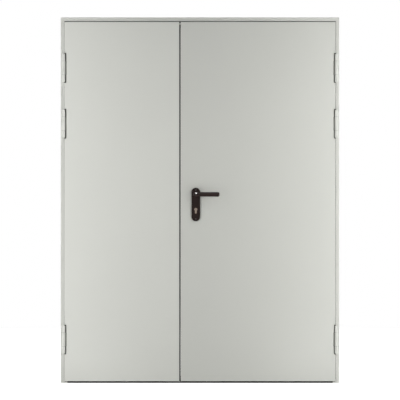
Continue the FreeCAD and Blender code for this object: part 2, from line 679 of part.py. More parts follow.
def flush_cuts():
    """Openings in the passive leaf's tray for the flush bolts and their levers."""
    cuts = []
    half = FLUSH_CASE_WIDTH / 2 - FLUSH_FACE_MARGIN
    for tip, sign in ((BODY_TOP, -1), (BODY_BOTTOM, 1)):
        hole = rod(FLUSH_BOLT_R + FLUSH_HOLE_PLAY / 2, 2 * LEAF_SHEET + 1,
                   V(FLUSH_X, FLUSH_Y, tip - sign), V(0, 0, sign))
        cuts.append(hole)
        z0 = tip + sign * FLUSH_BOLT_LENGTH
        cuts.append(block(PASSIVE_BODY + 1, PASSIVE_BODY - LEAF_SHEET, FLUSH_Y - half, FLUSH_Y + half,
                          z0 + sign * FLUSH_FACE_INSET, z0 + sign * (FLUSH_CASE_HEIGHT - FLUSH_FACE_INSET)))
    return cuts


def keeper(upper):
    """The plate in the head or sill that the flush bolt shoots into."""
    z0, z1 = (HEAD_REBATE - KEEPER_THICK, HEAD_REBATE) if upper else (NOSE_HEIGHT, NOSE_HEIGHT + KEEPER_THICK)
    long, wide = KEEPER_LENGTH / 2, KEEPER_WIDTH / 2
    plate = block(FLUSH_X - long, FLUSH_X + long, FLUSH_Y - wide, FLUSH_Y + wide, z0, z1)
    ends = [e for e in plate.Edges if abs(e.tangentAt(e.FirstParameter).z) > 0.9]
    plate = plate.makeFillet(KEEPER_CORNER, ends)
    start = V(FLUSH_X, FLUSH_Y, z0 - 1)
    return plate.cut(rod(FLUSH_BOLT_R + FLUSH_HOLE_PLAY, KEEPER_THICK + 2, start, V(0, 0, 1)))


def strike_plate():
    """The plate on the passive leaf's edge that the latch and dead bolt enter."""
    half = FOREND_WIDTH / 2
    plate = block(PASSIVE_BODY, PASSIVE_BODY - LEAF_SHEET, LOCK_Y - half, LOCK_Y + half,
                  FOREND_LEVEL - FOREND_HEIGHT / 2, FOREND_LEVEL + FOREND_HEIGHT / 2)
    ends = [e for e in plate.Edges if abs(e.tangentAt(e.FirstParameter).x) > 0.9]
    plate = plate.makeFillet(LOCK_CORNER, ends)
    for level, height in bolt_plan():
        plate = plate.cut(strike_hole(level, height))
    return plate


def strike_hole(level, height):
    """The opening that a bolt enters, through the strike and into the leaf."""
    half = BOLT_DEPTH / 2 + STRIKE_PLAY
    tall = height / 2 + STRIKE_PLAY
    return block(PASSIVE_BODY + 1, PASSIVE_BODY - STRIKE_DEPTH, LOCK_Y - half, LOCK_Y + half,
                 level - tall, level + tall)


def strike_pocket():
    """The slot in the passive leaf's edge that takes the strike."""
    half = FOREND_WIDTH / 2
    return block(PASSIVE_BODY + 1, PASSIVE_BODY - LEAF_SHEET, LOCK_Y - half, LOCK_Y + half,
                 FOREND_LEVEL - FOREND_HEIGHT / 2, FOREND_LEVEL + FOREND_HEIGHT / 2)


def meeting_gasket():
    """The seal along the passive leaf's edge, behind the two flanges; it closes the gap between them."""
    y0 = LEAF_FRONT + MEETING_SEAL_SETBACK
    return block(PASSIVE_BODY, ACTIVE_STILE - MEETING_SEAL_PLAY, y0, y0 + MEETING_SEAL_DEPTH,
                 BODY_BOTTOM, BODY_TOP)


def drop_seal(side):
    """The seal in the leaf's lower edge, lifted as it is while the door moves."""
    hinge, stile, body_hinge, body_stile = leaf_plan(side)
    sign = 1 if body_stile > body_hinge else -1
    inset = sign * DROP_SEAL_END_INSET
    mid = LEAF_BACK - DROP_SEAL_SETBACK
    return block(body_hinge + inset, body_stile - inset, mid - DROP_SEAL_WIDTH / 2,
                 mid + DROP_SEAL_WIDTH / 2, BODY_BOTTOM - DROP_SEAL_HEIGHT, BODY_BOTTOM)


def passive_core():
    """The wool in the passive leaf, with a channel for the flush bolts along the meeting edge."""
    core = leaf_hollow(LEFT)
    half = FLUSH_CASE_WIDTH / 2 + CORE_PLAY
    inner = FLUSH_X - FLUSH_BOLT_R - CORE_PLAY
    core = core.cut(block(inner, PASSIVE_BODY, FLUSH_Y - half, FLUSH_Y + half, 0, FRAME_HEIGHT))
    return cut_dog_pockets(core, LEFT)


def active_core():
    """The wool in the active leaf, with a pocket for the lock."""
    core = leaf_hollow(RIGHT)
    half = FOREND_WIDTH / 2 + CORE_PLAY
    reach = FOREND_HEIGHT / 2 + CORE_PLAY
    core = core.cut(block(ACTIVE_BODY, LEVER_X + LOCK_CASE_TAIL + CORE_PLAY, LOCK_Y - half, LOCK_Y + half,
                          FOREND_LEVEL - reach, FOREND_LEVEL + reach))
    for cut in lock_openings():
        core = core.cut(cut)
    return cut_dog_pockets(core, RIGHT)


def cut_dog_pockets(core, side):
    for level in DOG_LEVELS:
        core = core.cut(dog_plate(side, level))
    return core


def cut_all(body, cuts):
    for cut in cuts:
        body = body.cut(cut)
    return body


def passive_leaf():
    sheet = cut_all(front_sheet(LEFT), dog_holes(LEFT) + flush_cuts() + [strike_pocket()])
    return {
        "passive_front_sheet": sheet,
        "passive_back_pan": back_pan(LEFT),
        "passive_core": passive_core(),
        "passive_hinge_knuckles": leaf_knuckles(LEFT),
        "passive_dog_bolts": dog_bolts(LEFT),
        "flush_bolt_upper": flush_bolt(True),
        "flush_bolt_lower": flush_bolt(False),
        "strike_plate": strike_plate(),
        "meeting_gasket": meeting_gasket(),
        "passive_drop_seal": drop_seal(LEFT),
    }


def active_leaf():
    through = lock_openings()
    sheet = cut_all(front_sheet(RIGHT), dog_holes(RIGHT) + through + [forend_pocket()])
    return {
        "active_front_sheet": sheet,
        "active_back_pan": cut_all(back_pan(RIGHT), through),
        "active_core": active_core(),
        "active_hinge_knuckles": leaf_knuckles(RIGHT),
        "active_dog_bolts": dog_bolts(RIGHT),
        "lock_case": lock_case(),
        "lock_forend": lock_forend(),
        "latch_bolt": latch_bolt(),
        "dead_bolt": dead_bolt(),
        "profile_cylinder": profile_cylinder(),
        "front_handle_plate": handle_plate(True),
        "back_handle_plate": handle_plate(False),
        "plate_screws": plate_screws(),
        "active_drop_seal": drop_seal(RIGHT),
    }


def frame_parts():
    parts = {"frame_head": frame_head(), "threshold": threshold(), "frame_gasket": frame_gasket(),
             "head_keeper": keeper(True), "threshold_keeper": keeper(False)}
    for side, name in ((LEFT, "left"), (RIGHT, "right")):
        parts[name + "_jamb"] = jamb(side)
        parts[name + "_hinge_frame_knuckles"] = frame_knuckles(side)
        parts[name + "_hinge_pins"] = hinge_pins(side)
        parts[name + "_hinge_washers"] = hinge_washers(side)
    return parts


def lever_set():
    return {"lever_spindle": spindle(), "front_lever": front_lever(), "back_lever": back_lever()}


def main():
    os.makedirs("parts", exist_ok=True)
    for group in (frame_parts(), passive_leaf(), active_leaf(), lever_set()):
        for name, shape in group.items():
            shape.exportStep("parts/" + name + ".step")


main()
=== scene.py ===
import logging
import math
from dataclasses import dataclass, field
from enum import Enum
from typing import Sequence

import bmesh
import bpy
from mathutils import Matrix, Vector


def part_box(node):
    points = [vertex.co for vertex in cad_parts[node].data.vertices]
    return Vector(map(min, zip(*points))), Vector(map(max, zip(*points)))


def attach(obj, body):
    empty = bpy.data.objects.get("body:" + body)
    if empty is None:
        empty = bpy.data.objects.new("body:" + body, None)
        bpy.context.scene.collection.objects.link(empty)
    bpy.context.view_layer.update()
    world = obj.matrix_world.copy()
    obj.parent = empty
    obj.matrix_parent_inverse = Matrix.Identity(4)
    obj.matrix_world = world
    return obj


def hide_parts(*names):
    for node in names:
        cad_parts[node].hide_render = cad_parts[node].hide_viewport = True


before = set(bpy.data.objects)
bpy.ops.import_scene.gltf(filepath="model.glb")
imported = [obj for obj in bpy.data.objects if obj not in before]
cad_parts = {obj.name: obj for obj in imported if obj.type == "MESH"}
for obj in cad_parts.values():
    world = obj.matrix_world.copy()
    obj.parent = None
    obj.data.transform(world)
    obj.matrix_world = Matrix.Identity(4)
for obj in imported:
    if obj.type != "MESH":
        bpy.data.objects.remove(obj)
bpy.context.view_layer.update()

LOG = logging.getLogger("steel_door")
MM = 0.001

# Edges flatter than these, in degrees, are shaded smooth on plain, rimmed and rounded pieces.
PLAIN_ANGLE = 35.0
RIM_ANGLE = 40.0
ROUND_ANGLE = 50.0
MERGE_DISTANCE = 1e-6
POLE_RADIUS = 1e-7

# The curve between a screen's values, 0 to 255, and linear light.
SCREEN_WHITE = 255.0
TOE_END = 0.04045
TOE_SLOPE = 12.92
CURVE_OFFSET = 0.055
CURVE_POWER = 2.4

# How the noise in a finish is read: octaves for tone and grain, and the values used as its ends.
TONE_DETAIL = 3.0
GRAIN_DETAIL = 2.0
NOISE_ROUGHNESS = 0.5
NOISE_LOW = 0.3
NOISE_HIGH = 0.7

# Sides and steps of the shapes that the geometry trees make.
HEAD_SIDES = 32
SOCKET_SIDES = 6
BULB_SIDES = 16
CORNER_STEPS = 5

Point = tuple[float, float, float]
Colour = tuple[float, float, float]
ShaderColour = tuple[float, float, float, float]


class Side(Enum):
    """The two sides of the door, seen from the front."""

    LEFT = -1
    RIGHT = 1


class Body(Enum):
    """The bodies that pieces ride on."""

    FRAME = "frame"
    PASSIVE = "passive_leaf"
    ACTIVE = "active_leaf"
    LEVERS = "lever_set"


def linear(rgb: Colour) -> ShaderColour:
    """Turns a colour as seen on a screen, 0 to 255, into the shader's linear values.

    Args:
        rgb: Red, green and blue, 0 to 255.

    Returns:
        Linear red, green and blue with an alpha of 1.
    """
    values = []
    for channel in rgb:
        c = channel / SCREEN_WHITE
        if c <= TOE_END:
            values.append(c / TOE_SLOPE)
        else:
            values.append(((c + CURVE_OFFSET) / (1.0 + CURVE_OFFSET)) ** CURVE_POWER)
    return (*values, 1.0)


def grey(value: float) -> ShaderColour:
    """A neutral shader colour, where 0 is black and 1 is white."""
    return (value, value, value, 1.0)


# Finishes


@dataclass(frozen=True)
class Finish:
    """A painted, moulded or plated surface with a little unevenness in tone, gloss and height.

    Attributes:
        name: The material's name.
        colour: The main colour, 0 to 255 a channel.
        tone: How far the colour wanders, as a share of itself.
        tone_size: Size of the patches in the colour, in metres.
        metallic: 0 for paint and plastic, 1 for bare metal.
        roughness: Mean roughness.
        rough_swing: How far the roughness wanders to each side.
        grain_size: Size of the fine surface grain, in metres.
        grain_height: Height of that grain, in metres.
        specular: Strength of the reflection of a non-metal, 0.5 is normal.
        coat: Strength of a clear top layer.
        coat_roughness: Roughness of that layer.
        brushed: Stretch of the grain along Z, 1 for none.
    """

    name: str
    colour: Colour
    tone: float = 0.03
    tone_size: float = 0.25
    metallic: float = 0.0
    roughness: float = 0.5
    rough_swing: float = 0.05
    grain_size: float = 0.0012
    grain_height: float = 0.00002
    specular: float = 0.5
    coat: float = 0.0
    coat_roughness: float = 0.2
    brushed: float = 1.0

    def material(self) -> bpy.types.Material:
        """Builds the finish's node material, once.

        Returns:
            The material.
        """
        found = bpy.data.materials.get(self.name)
        if found:
            return found
        mat = bpy.data.materials.new(self.name)
        mat.use_nodes = True
        tree = mat.node_tree
        tree.nodes.clear()
        out = tree.nodes.new("ShaderNodeOutputMaterial")
        shader = tree.nodes.new("ShaderNodeBsdfPrincipled")
        tree.links.new(shader.outputs["BSDF"], out.inputs["Surface"])
        shader.inputs["Metallic"].default_value = self.metallic
        shader.inputs["Specular IOR Level"].default_value = self.specular
        shader.inputs["Coat Weight"].default_value = self.coat
        shader.inputs["Coat Roughness"].default_value = self.coat_roughness
        coords = tree.nodes.new("ShaderNodeTexCoord")
        tree.links.new(self._tone(tree, coords), shader.inputs["Base Color"])
        grain = self._noise(tree, coords, self.grain_size, GRAIN_DETAIL, self.brushed)
        tree.links.new(self._roughness(tree, grain), shader.inputs["Roughness"])
        bump = tree.nodes.new("ShaderNodeBump")
        bump.inputs["Strength"].default_value = 1.0
        bump.inputs["Distance"].default_value = self.grain_height
        tree.links.new(grain, bump.inputs["Height"])
        tree.links.new(bump.outputs["Normal"], shader.inputs["Normal"])
        mat.diffuse_color = linear(self.colour)
        return mat

    def _noise(self, tree: bpy.types.NodeTree, coords: bpy.types.Node, size: float,
               detail: float, stretch: float = 1.0) -> bpy.types.NodeSocket:
        """Adds a noise in object space.

        Args:
            tree: The material's tree.
            coords: The Texture Coordinate node.
            size: Size of a patch in metres.
            detail: Octaves of finer noise.
            stretch: How much longer a patch is along Z.

        Returns:
            The noise's value socket.
        """
        mapping = tree.nodes.new("ShaderNodeMapping")
        mapping.inputs["Scale"].default_value = (1.0, 1.0, 1.0 / stretch)
        noise = tree.nodes.new("ShaderNodeTexNoise")
        noise.inputs["Scale"].default_value = 1.0 / size
        noise.inputs["Detail"].default_value = detail
        noise.inputs["Roughness"].default_value = NOISE_ROUGHNESS
        tree.links.new(coords.outputs["Object"], mapping.inputs["Vector"])
        tree.links.new(mapping.outputs["Vector"], noise.inputs["Vector"])
        return noise.outputs["Fac"]

    def _tone(self, tree: bpy.types.NodeTree, coords: bpy.types.Node) -> bpy.types.NodeSocket:
        """Adds the colour, which wanders slowly between a darker and a lighter tone.

        Args:
            tree: The material's tree.
            coords: The Texture Coordinate node.

        Returns:
            The colour's socket.
        """
        patch = self._noise(tree, coords, self.tone_size, TONE_DETAIL)
        ramp = tree.nodes.new("ShaderNodeValToRGB")
        base = linear(self.colour)
        for stop, place, sign in zip(ramp.color_ramp.elements, (NOISE_LOW, NOISE_HIGH), (-1.0, 1.0)):
            stop.position = place
            stop.color = tuple(min(1.0, c * (1.0 + sign * self.tone)) for c in base[:3]) + (1.0,)
        tree.links.new(patch, ramp.inputs["Fac"])
        return ramp.outputs["Color"]

    def _roughness(self, tree: bpy.types.NodeTree, grain: bpy.types.NodeSocket) -> bpy.types.NodeSocket:
        """Adds the roughness, which follows the grain.

        Args:
            tree: The material's tree.
            grain: The grain's value.

        Returns:
            The roughness's socket.
        """
        spread = tree.nodes.new("ShaderNodeMapRange")
        spread.inputs["From Min"].default_value = NOISE_LOW
        spread.inputs["From Max"].default_value = NOISE_HIGH
        spread.inputs["To Min"].default_value = self.roughness - self.rough_swing
        spread.inputs["To Max"].default_value = self.roughness + self.rough_swing
        tree.links.new(grain, spread.inputs["Value"])
        return spread.outputs["Result"]


NARROW_LEAF_COAT = Finish("light_grey_coat_narrow_leaf", (212, 213, 207), tone=0.010, tone_size=0.6,
                          roughness=0.40, grain_size=0.0011, grain_height=0.000018, specular=0.3)
# The wide leaf's coat is the narrow leaf's paint made darker: painted shade for the weaker light on the wide
# leaf.
WIDE_LEAF_COAT_PAINTED_SHADE = Finish("light_grey_coat_wide_leaf", (202, 203, 197), tone=0.010, tone_size=0.6,
                        roughness=0.40, grain_size=0.0011, grain_height=0.000018, specular=0.3)
FRAME_COAT = Finish("light_grey_frame_coat", (210, 211, 205), tone=0.012, tone_size=0.5,
                    roughness=0.44, rough_swing=0.05, grain_size=0.0012, grain_height=0.00002,
                    specular=0.3)
HINGE_COAT = Finish("light_grey_hinge_coat", (213, 214, 208), tone=0.015, tone_size=0.05,
                    roughness=0.38, rough_swing=0.05, grain_size=0.0009, grain_height=0.000015,
                    specular=0.45)
# Dark grey steel for the hinge straps and washers, painted shade: it stands for the dark gap in the notch
# beside the knuckles and at the knuckles' joints.
HINGE_SHADE_STEEL = Finish("grey_primed_strap", (146, 147, 142), tone=0.05, tone_size=0.02, roughness=0.55,
                     grain_size=0.0009, grain_height=0.000012, specular=0.2)
# Near black for the sill: partly the sill's own dark coat, partly painted shade for the gap under the leaves.
SILL_DARK_AND_SHADE = Finish("dark_sill_coat", (30, 29, 27), tone=0.08, tone_size=0.08, roughness=0.65,
                   rough_swing=0.08, grain_size=0.0016, grain_height=0.00003, specular=0.12)
SEAL_RUBBER = Finish("black_seal_rubber", (34, 34, 33), tone=0.10, tone_size=0.04, roughness=0.75,
                     rough_swing=0.08, grain_size=0.0008, grain_height=0.00002, specular=0.3)
HANDLE_POLYMER = Finish("black_handle_polymer", (33, 21, 19), tone=0.12, tone_size=0.02,
                        roughness=0.36, rough_swing=0.05, grain_size=0.0005, grain_height=0.000004,
                        specular=0.02, coat=0.24)
CYLINDER_NICKEL = Finish("matt_nickel", (142, 128, 117), tone=0.05, tone_size=0.01, metallic=1.0,
                         roughness=0.36, rough_swing=0.06, grain_size=0.0004, grain_height=0.000004,
                         brushed=6.0)
ZINC_STEEL = Finish("zinc_plated_steel", (176, 176, 171), tone=0.07, tone_size=0.012, metallic=1.0,
                    roughness=0.38, rough_swing=0.08, grain_size=0.0006, grain_height=0.000008,
                    brushed=4.0)
SCREW_BLACK = Finish("blackened_screw", (60, 57, 55), tone=0.10, tone_size=0.003, metallic=0.3,
                     roughness=0.45, rough_swing=0.08, grain_size=0.0004, grain_height=0.000006)
# Dark blocks on the plug faces stand in for the key slots' hollows: painted shade.
KEY_SLOT_PAINTED_SHADE = Finish("key_slot_shadow", (20, 19, 18), tone=0.10, tone_size=0.003, metallic=0.5,
                       roughness=0.7, grain_size=0.0004)
WOOL = Finish("mineral_wool", (150, 138, 96), tone=0.18, tone_size=0.01, roughness=0.95,
              rough_swing=0.04, grain_size=0.0015, grain_height=0.0003, specular=0.1, brushed=5.0)


# Making pieces


def cover(mesh: bpy.types.Mesh, finish: Finish) -> None:
    """Gives a mesh one finish all over."""
    mesh.materials.clear()
    mesh.materials.append(finish.material())


def to_piece(name: str, bm: bmesh.types.BMesh, finish: Finish,
             smooth_angle: float = PLAIN_ANGLE) -> bpy.types.Object:
    """Turns mesh code into an object with its finish, placed by its mesh alone.

    Args:
        name: The piece's name.
        bm: The mesh, in metres in the door's own frame; it is freed here.
        finish: The finish the piece is given.
        smooth_angle: Edges flatter than this are shaded smooth, in degrees.

    Returns:
        The new object.
    """
    bmesh.ops.remove_doubles(bm, verts=bm.verts, dist=MERGE_DISTANCE)
    bmesh.ops.recalc_face_normals(bm, faces=bm.faces)
    mesh = bpy.data.meshes.new(name)
    bm.to_mesh(mesh)
    bm.free()
    cover(mesh, finish)
    piece = bpy.data.objects.new(name, mesh)
    bpy.context.scene.collection.objects.link(piece)
    shade(piece, smooth_angle)
    return piece


def shade(piece: bpy.types.Object, smooth_angle: float) -> None:
    """Shades a piece smooth and keeps its sharp edges crisp.

    Args:
        piece: The object.
        smooth_angle: Edges flatter than this are smooth, in degrees.
    """
    bm = bmesh.new()
    bm.from_mesh(piece.data)
    for face in bm.faces:
        face.smooth = True
    for edge in bm.edges:
        if len(edge.link_faces) == 2:
            edge.smooth = edge.calc_face_angle(0.0) < math.radians(smooth_angle)
    bm.to_mesh(piece.data)
    bm.free()


def settle(piece: bpy.types.Object) -> bpy.types.Object:
    """Bakes a piece's modifiers into a plain mesh and removes them.

    Args:
        piece: The object whose modifiers are live.

    Returns:
        The same object with its finished mesh.
    """
    graph = bpy.context.evaluated_depsgraph_get()
    graph.update()
    mesh = bpy.data.meshes.new_from_object(piece.evaluated_get(graph), depsgraph=graph)
    mesh.name = piece.name
    piece.modifiers.clear()
    piece.data = mesh
    return piece


def soften(piece: bpy.types.Object, width: float, segments: int = 3) -> bpy.types.Object:
    """Rounds a piece's edges with a bevel and bakes it.

    Args:
        piece: The object.
        width: Width of the bevel, in metres.
        segments: Steps round the bevel.

    Returns:
        The same object.
    """
    bevel = piece.modifiers.new("edge_round", "BEVEL")
    bevel.width = width
    bevel.segments = segments
    bevel.limit_method = "ANGLE"
    settle(piece)
    shade(piece, ROUND_ANGLE)
    return piece


def dress(node: str, finish: Finish) -> None:
    """Gives a carried-over solid its finish.

    Args:
        node: The solid's name.
        finish: The finish.
    """
    cover(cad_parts[node].data, finish)


def add_block(bm: bmesh.types.BMesh, low: Point, high: Point) -> None:
    """Adds a closed box to a mesh.

    Args:
        bm: The mesh to add to.
        low: The corner with the lowest coordinates.
        high: The corner with the highest.
    """
    lo, hi = Vector(low), Vector(high)
    matrix = Matrix.Translation((lo + hi) / 2) @ Matrix.Diagonal((*(hi - lo), 1.0))
    bmesh.ops.create_cube(bm, size=1.0, matrix=matrix)


def add_tube(bm: bmesh.types.BMesh, rings: Sequence[Sequence[Vector]]) -> None:
    """Joins closed rings of equal count into a skin with flat ends.

    Args:
        bm: The mesh to add to.
        rings: The rings from one end to the other; a ring of one point is a pole.
    """
    made = [[bm.verts.new(point) for point in ring] for ring in rings]
    for first, second in zip(made, made[1:]):
        count = max(len(first), len(second))
        for i in range(count):
            j = (i + 1) % count
            corners = [first[i % len(first)], first[j % len(first)],
                       second[j % len(second)], second[i % len(second)]]
            unique = list(dict.fromkeys(corners))
            if len(unique) > 2:
                bm.faces.new(unique)
    for ring in (made[0], made[-1]):
        if len(ring) > 1:
            bm.faces.new(ring)


def add_turned(bm: bmesh.types.BMesh, outline: Sequence[tuple[float, float]], origin: Vector,
               axis: Vector, steps: int = 48) -> None:
    """Adds a turned solid, as from a lathe.

    Args:
        bm: The mesh to add to.
        outline: Radius and distance along the axis, from one end to the other.
        origin: Where the distance along the axis is zero.
        axis: Direction of the axis.
        steps: Steps round the axis.
    """
    turn = Vector((0.0, 0.0, 1.0)).rotation_difference(axis.normalized()).to_matrix()
    rings = []
    for radius, along in outline:
        count = 1 if radius < POLE_RADIUS else steps
        angles = [2 * math.pi * i / count for i in range(count)]
        ring = [Vector((radius * math.cos(a), radius * math.sin(a), along)) for a in angles]
        rings.append([origin + turn @ point for point in ring])
    add_tube(bm, rings)


# Repeats and sweeps, made by geometry nodes


@dataclass(frozen=True)
class TreeInput:
    """One named input of a geometry tree."""

    name: str
    kind: str
    value: float | Point = 0.0


class GeometryTree:
    """A geometry node tree with named inputs that ends in Realize Instances and Set Material."""

    def __init__(self, name: str, inputs: Sequence[TreeInput], finish: Finish) -> None:
        """Starts an empty tree.

        Args:
            name: The tree's name.
            inputs: Its named inputs, after the geometry.
            finish: The finish set on what it makes.
        """
        self.tree = bpy.data.node_groups.new(name, "GeometryNodeTree")
        self.tree.interface.new_socket("Geometry", in_out="INPUT", socket_type="NodeSocketGeometry")
        self.identifiers: dict[str, str] = {}
        for item in inputs:
            socket = self.tree.interface.new_socket(item.name, in_out="INPUT", socket_type=item.kind)
            socket.default_value = item.value
            self.identifiers[item.name] = socket.identifier
        self.tree.interface.new_socket("Geometry", in_out="OUTPUT", socket_type="NodeSocketGeometry")
        self.entry = self.node("NodeGroupInput")
        self.finish = finish

    def node(self, kind: str, **values: object) -> bpy.types.Node:
        """Adds a node.

        Args:
            kind: The node's type.
            values: Its properties, by name.

        Returns:
            The new node.
        """
        made = self.tree.nodes.new(kind)
        for key, value in values.items():
            setattr(made, key, value)
        return made

    def link(self, source: bpy.types.NodeSocket, target: bpy.types.NodeSocket) -> None:
        """Links two sockets."""
        self.tree.links.new(source, target)

    def close(self, geometry: bpy.types.NodeSocket) -> None:
        """Ends the tree: instances made real, then the finish.

        Args:
            geometry: What the tree has made so far.
        """
        real = self.node("GeometryNodeRealizeInstances")
        paint = self.node("GeometryNodeSetMaterial")
        paint.inputs["Material"].default_value = self.finish.material()
        out = self.node("NodeGroupOutput")
        self.link(geometry, real.inputs["Geometry"])
        self.link(real.outputs["Geometry"], paint.inputs["Geometry"])
        self.link(paint.outputs["Geometry"], out.inputs["Geometry"])

    def build(self, name: str, source: bpy.types.Mesh, values: dict[str, float | Point]) -> bpy.types.Object:
        """Runs the tree on a mesh and keeps the result as a plain mesh.

        Args:
            name: The new piece's name.
            source: The mesh that the tree starts from.
            values: Values of the named inputs.

        Returns:
            The finished object.
        """
        piece = bpy.data.objects.new(name, source)
        bpy.context.scene.collection.objects.link(piece)
        modifier = piece.modifiers.new("build", "NODES")
        modifier.node_group = self.tree
        for key, value in values.items():
            modifier[self.identifiers[key]] = value
        settle(piece)
        cover(piece.data, self.finish)
        shade(piece, PLAIN_ANGLE)
        return piece


def guide_mesh(name: str, points: Sequence[Vector], joined: bool) -> bpy.types.Mesh:
    """Makes the mesh that a tree starts from.

    Args:
        name: The mesh's name.
        points: Places for copies, or the points of a path.
        joined: Whether edges join the points into one open path.

    Returns:
        The mesh.
    """
    edges = [(i, i + 1) for i in range(len(points) - 1)] if joined else []
    mesh = bpy.data.meshes.new(name)
    mesh.from_pydata([tuple(point) for point in points], edges, [])
    return mesh


def screw_tree(name: str, finish: Finish) -> GeometryTree:
    """A low screw head with a six-sided key recess at each point.

    Args:
        name: The tree's name.
        finish: The screws' finish.

    Returns:
        The tree, with inputs head_radius, head_height, socket_radius, socket_lift and head_axis.
    """
    tree = GeometryTree(name, (TreeInput("head_radius", "NodeSocketFloat", 3.5 * MM),
                               TreeInput("head_height", "NodeSocketFloat", 0.6 * MM),
                               TreeInput("socket_radius", "NodeSocketFloat", 1.6 * MM),
                               TreeInput("socket_lift", "NodeSocketVector", (0.0, 0.0, 0.7 * MM)),
                               TreeInput("head_axis", "NodeSocketVector", (0.0, 0.0, 1.0))), finish)
    head = tree.node("GeometryNodeMeshCone", fill_type="NGON")
    head.inputs["Vertices"].default_value = HEAD_SIDES
    slope = tree.node("ShaderNodeMath", operation="SUBTRACT")
    tree.link(tree.entry.outputs["head_radius"], slope.inputs[0])
    tree.link(tree.entry.outputs["head_height"], slope.inputs[1])
    tree.link(slope.outputs[0], head.inputs["Radius Top"])
    tree.link(tree.entry.outputs["head_radius"], head.inputs["Radius Bottom"])
    tree.link(tree.entry.outputs["head_height"], head.inputs["Depth"])
    socket = tree.node("GeometryNodeMeshCylinder", fill_type="NGON")
    socket.inputs["Vertices"].default_value = SOCKET_SIDES
    tree.link(tree.entry.outputs["socket_radius"], socket.inputs["Radius"])
    tree.link(tree.entry.outputs["head_height"], socket.inputs["Depth"])
    lift = tree.node("GeometryNodeTransform")
    tree.link(tree.entry.outputs["socket_lift"], lift.inputs["Translation"])
    tree.link(socket.outputs["Mesh"], lift.inputs["Geometry"])
    cut = tree.node("GeometryNodeMeshBoolean", operation="DIFFERENCE")
    tree.link(head.outputs["Mesh"], cut.inputs["Mesh 1"])
    tree.link(lift.outputs["Geometry"], cut.inputs["Mesh 2"])
    facing = tree.node("FunctionNodeAlignRotationToVector", axis="Z")
    tree.link(tree.entry.outputs["head_axis"], facing.inputs["Vector"])
    place = tree.node("GeometryNodeInstanceOnPoints")
    tree.link(facing.outputs["Rotation"], place.inputs["Rotation"])
    tree.link(tree.entry.outputs["Geometry"], place.inputs["Points"])
    tree.link(cut.outputs["Mesh"], place.inputs["Instance"])
    tree.close(place.outputs["Instances"])
    return tree


def bulb_tree(name: str, finish: Finish) -> GeometryTree:
    """A round bulb swept along a path whose corners it rounds, as a hollow seal's nose.

    Args:
        name: The tree's name.
        finish: The seal's finish.

    Returns:
        The tree, with inputs bulb_radius and corner_radius.
    """
    tree = GeometryTree(name, (TreeInput("bulb_radius", "NodeSocketFloat", 2.0 * MM),
                               TreeInput("corner_radius", "NodeSocketFloat", 4.0 * MM)), finish)
    curve = tree.node("GeometryNodeMeshToCurve")
    corner = tree.node("GeometryNodeFilletCurve", mode="POLY")
    corner.inputs["Count"].default_value = CORNER_STEPS
    corner.inputs["Limit Radius"].default_value = True
    profile = tree.node("GeometryNodeCurvePrimitiveCircle")
    profile.inputs["Resolution"].default_value = BULB_SIDES
    sweep = tree.node("GeometryNodeCurveToMesh")
    sweep.inputs["Fill Caps"].default_value = True
    tree.link(tree.entry.outputs["Geometry"], curve.inputs["Mesh"])
    tree.link(curve.outputs["Curve"], corner.inputs["Curve"])
    tree.link(tree.entry.outputs["corner_radius"], corner.inputs["Radius"])
    tree.link(tree.entry.outputs["bulb_radius"], profile.inputs["Radius"])
    tree.link(corner.outputs["Curve"], sweep.inputs["Curve"])
    tree.link(profile.outputs["Curve"], sweep.inputs["Profile Curve"])
    tree.close(sweep.outputs["Mesh"])
    return tree


# The door's sub-assemblies


@dataclass
class Assembly:
    """A sub-assembly that makes pieces and keeps a list of them."""

    pieces: list[bpy.types.Object] = field(default_factory=list, init=False)

    def keep(self, piece: bpy.types.Object, body: Body, slot: str, *nodes: str) -> None:
        """Fixes a finished piece to its body, hides the solids it stands for and keeps it in the list.

        Args:
            piece: The finished piece.
            body: The body that it moves with.
            slot: The record's material slot that its finish belongs to; not used.
            nodes: The solids that aren't shown because of it.
        """
        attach(piece, body.value)
        if nodes:
            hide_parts(*nodes)
        self.pieces.append(piece)

    def add_screws(self, name: str, spots: Sequence[Vector], facing: Point, finish: Finish, body: Body,
                   slot: str, **sizes: float) -> None:
        """Sets a screw head on each spot.

        Args:
            name: The piece's name.
            spots: Where the heads sit.
            facing: The direction in which the heads look.
            finish: The screws' finish.
            body: The body that they move with.
            slot: The record's material slot of the finish; not used.
            sizes: Sizes of the screw tree, by its inputs' names.
        """
        tree = screw_tree(name, finish)
        piece = tree.build(name, guide_mesh(name, spots, False), {**sizes, "head_axis": facing})
        self.keep(piece, body, slot)

    def add_seal_run(self, name: str, run: Sequence[Vector], body: Body, **sizes: float) -> None:
        """Sweeps a seal's bulb along an open run of points.

        Args:
            name: The piece's name.
            run: The points of the bulb's middle line.
            body: The body that it moves with.
            sizes: Sizes of the bulb tree, by its inputs' names.
        """
        piece = bulb_tree(name, SEAL_RUBBER).build(name, guide_mesh(name, run, True), sizes)
        self.keep(piece, body, "seal_rubber")


@dataclass(frozen=True)
class SealSizes:
    """Sizes of the seals and of the black strip under the leaves' lap that is painted shadow, in metres."""

    width: float = 11.0 * MM
    stop_width: float = 20.0 * MM
    base_height: float = 1.2 * MM
    sill_drop: float = 4.0 * MM
    corner_radius: float = 7.0 * MM
    lip_radius: float = 1.3 * MM
    lip_shift: float = 3.4 * MM
    meeting_base: float = 2.0 * MM
    meeting_inner: float = 3.4 * MM
    meeting_outer: float = 2.6 * MM
    # The strip under the lap is painted shadow; it peeks out past the leaves by a different width on each
    # side and at the top, as the leaves' shadow lines do.
    lap_width: float = 9.0 * MM
    lap_thickness: float = 3.0 * MM
    lap_round: float = 0.8 * MM
    shadow_peek_left: float = 0.6 * MM
    shadow_peek_right: float = 2.0 * MM
    shadow_peek_top: float = 4.2 * MM
    lap_foot: float = 12.0 * MM


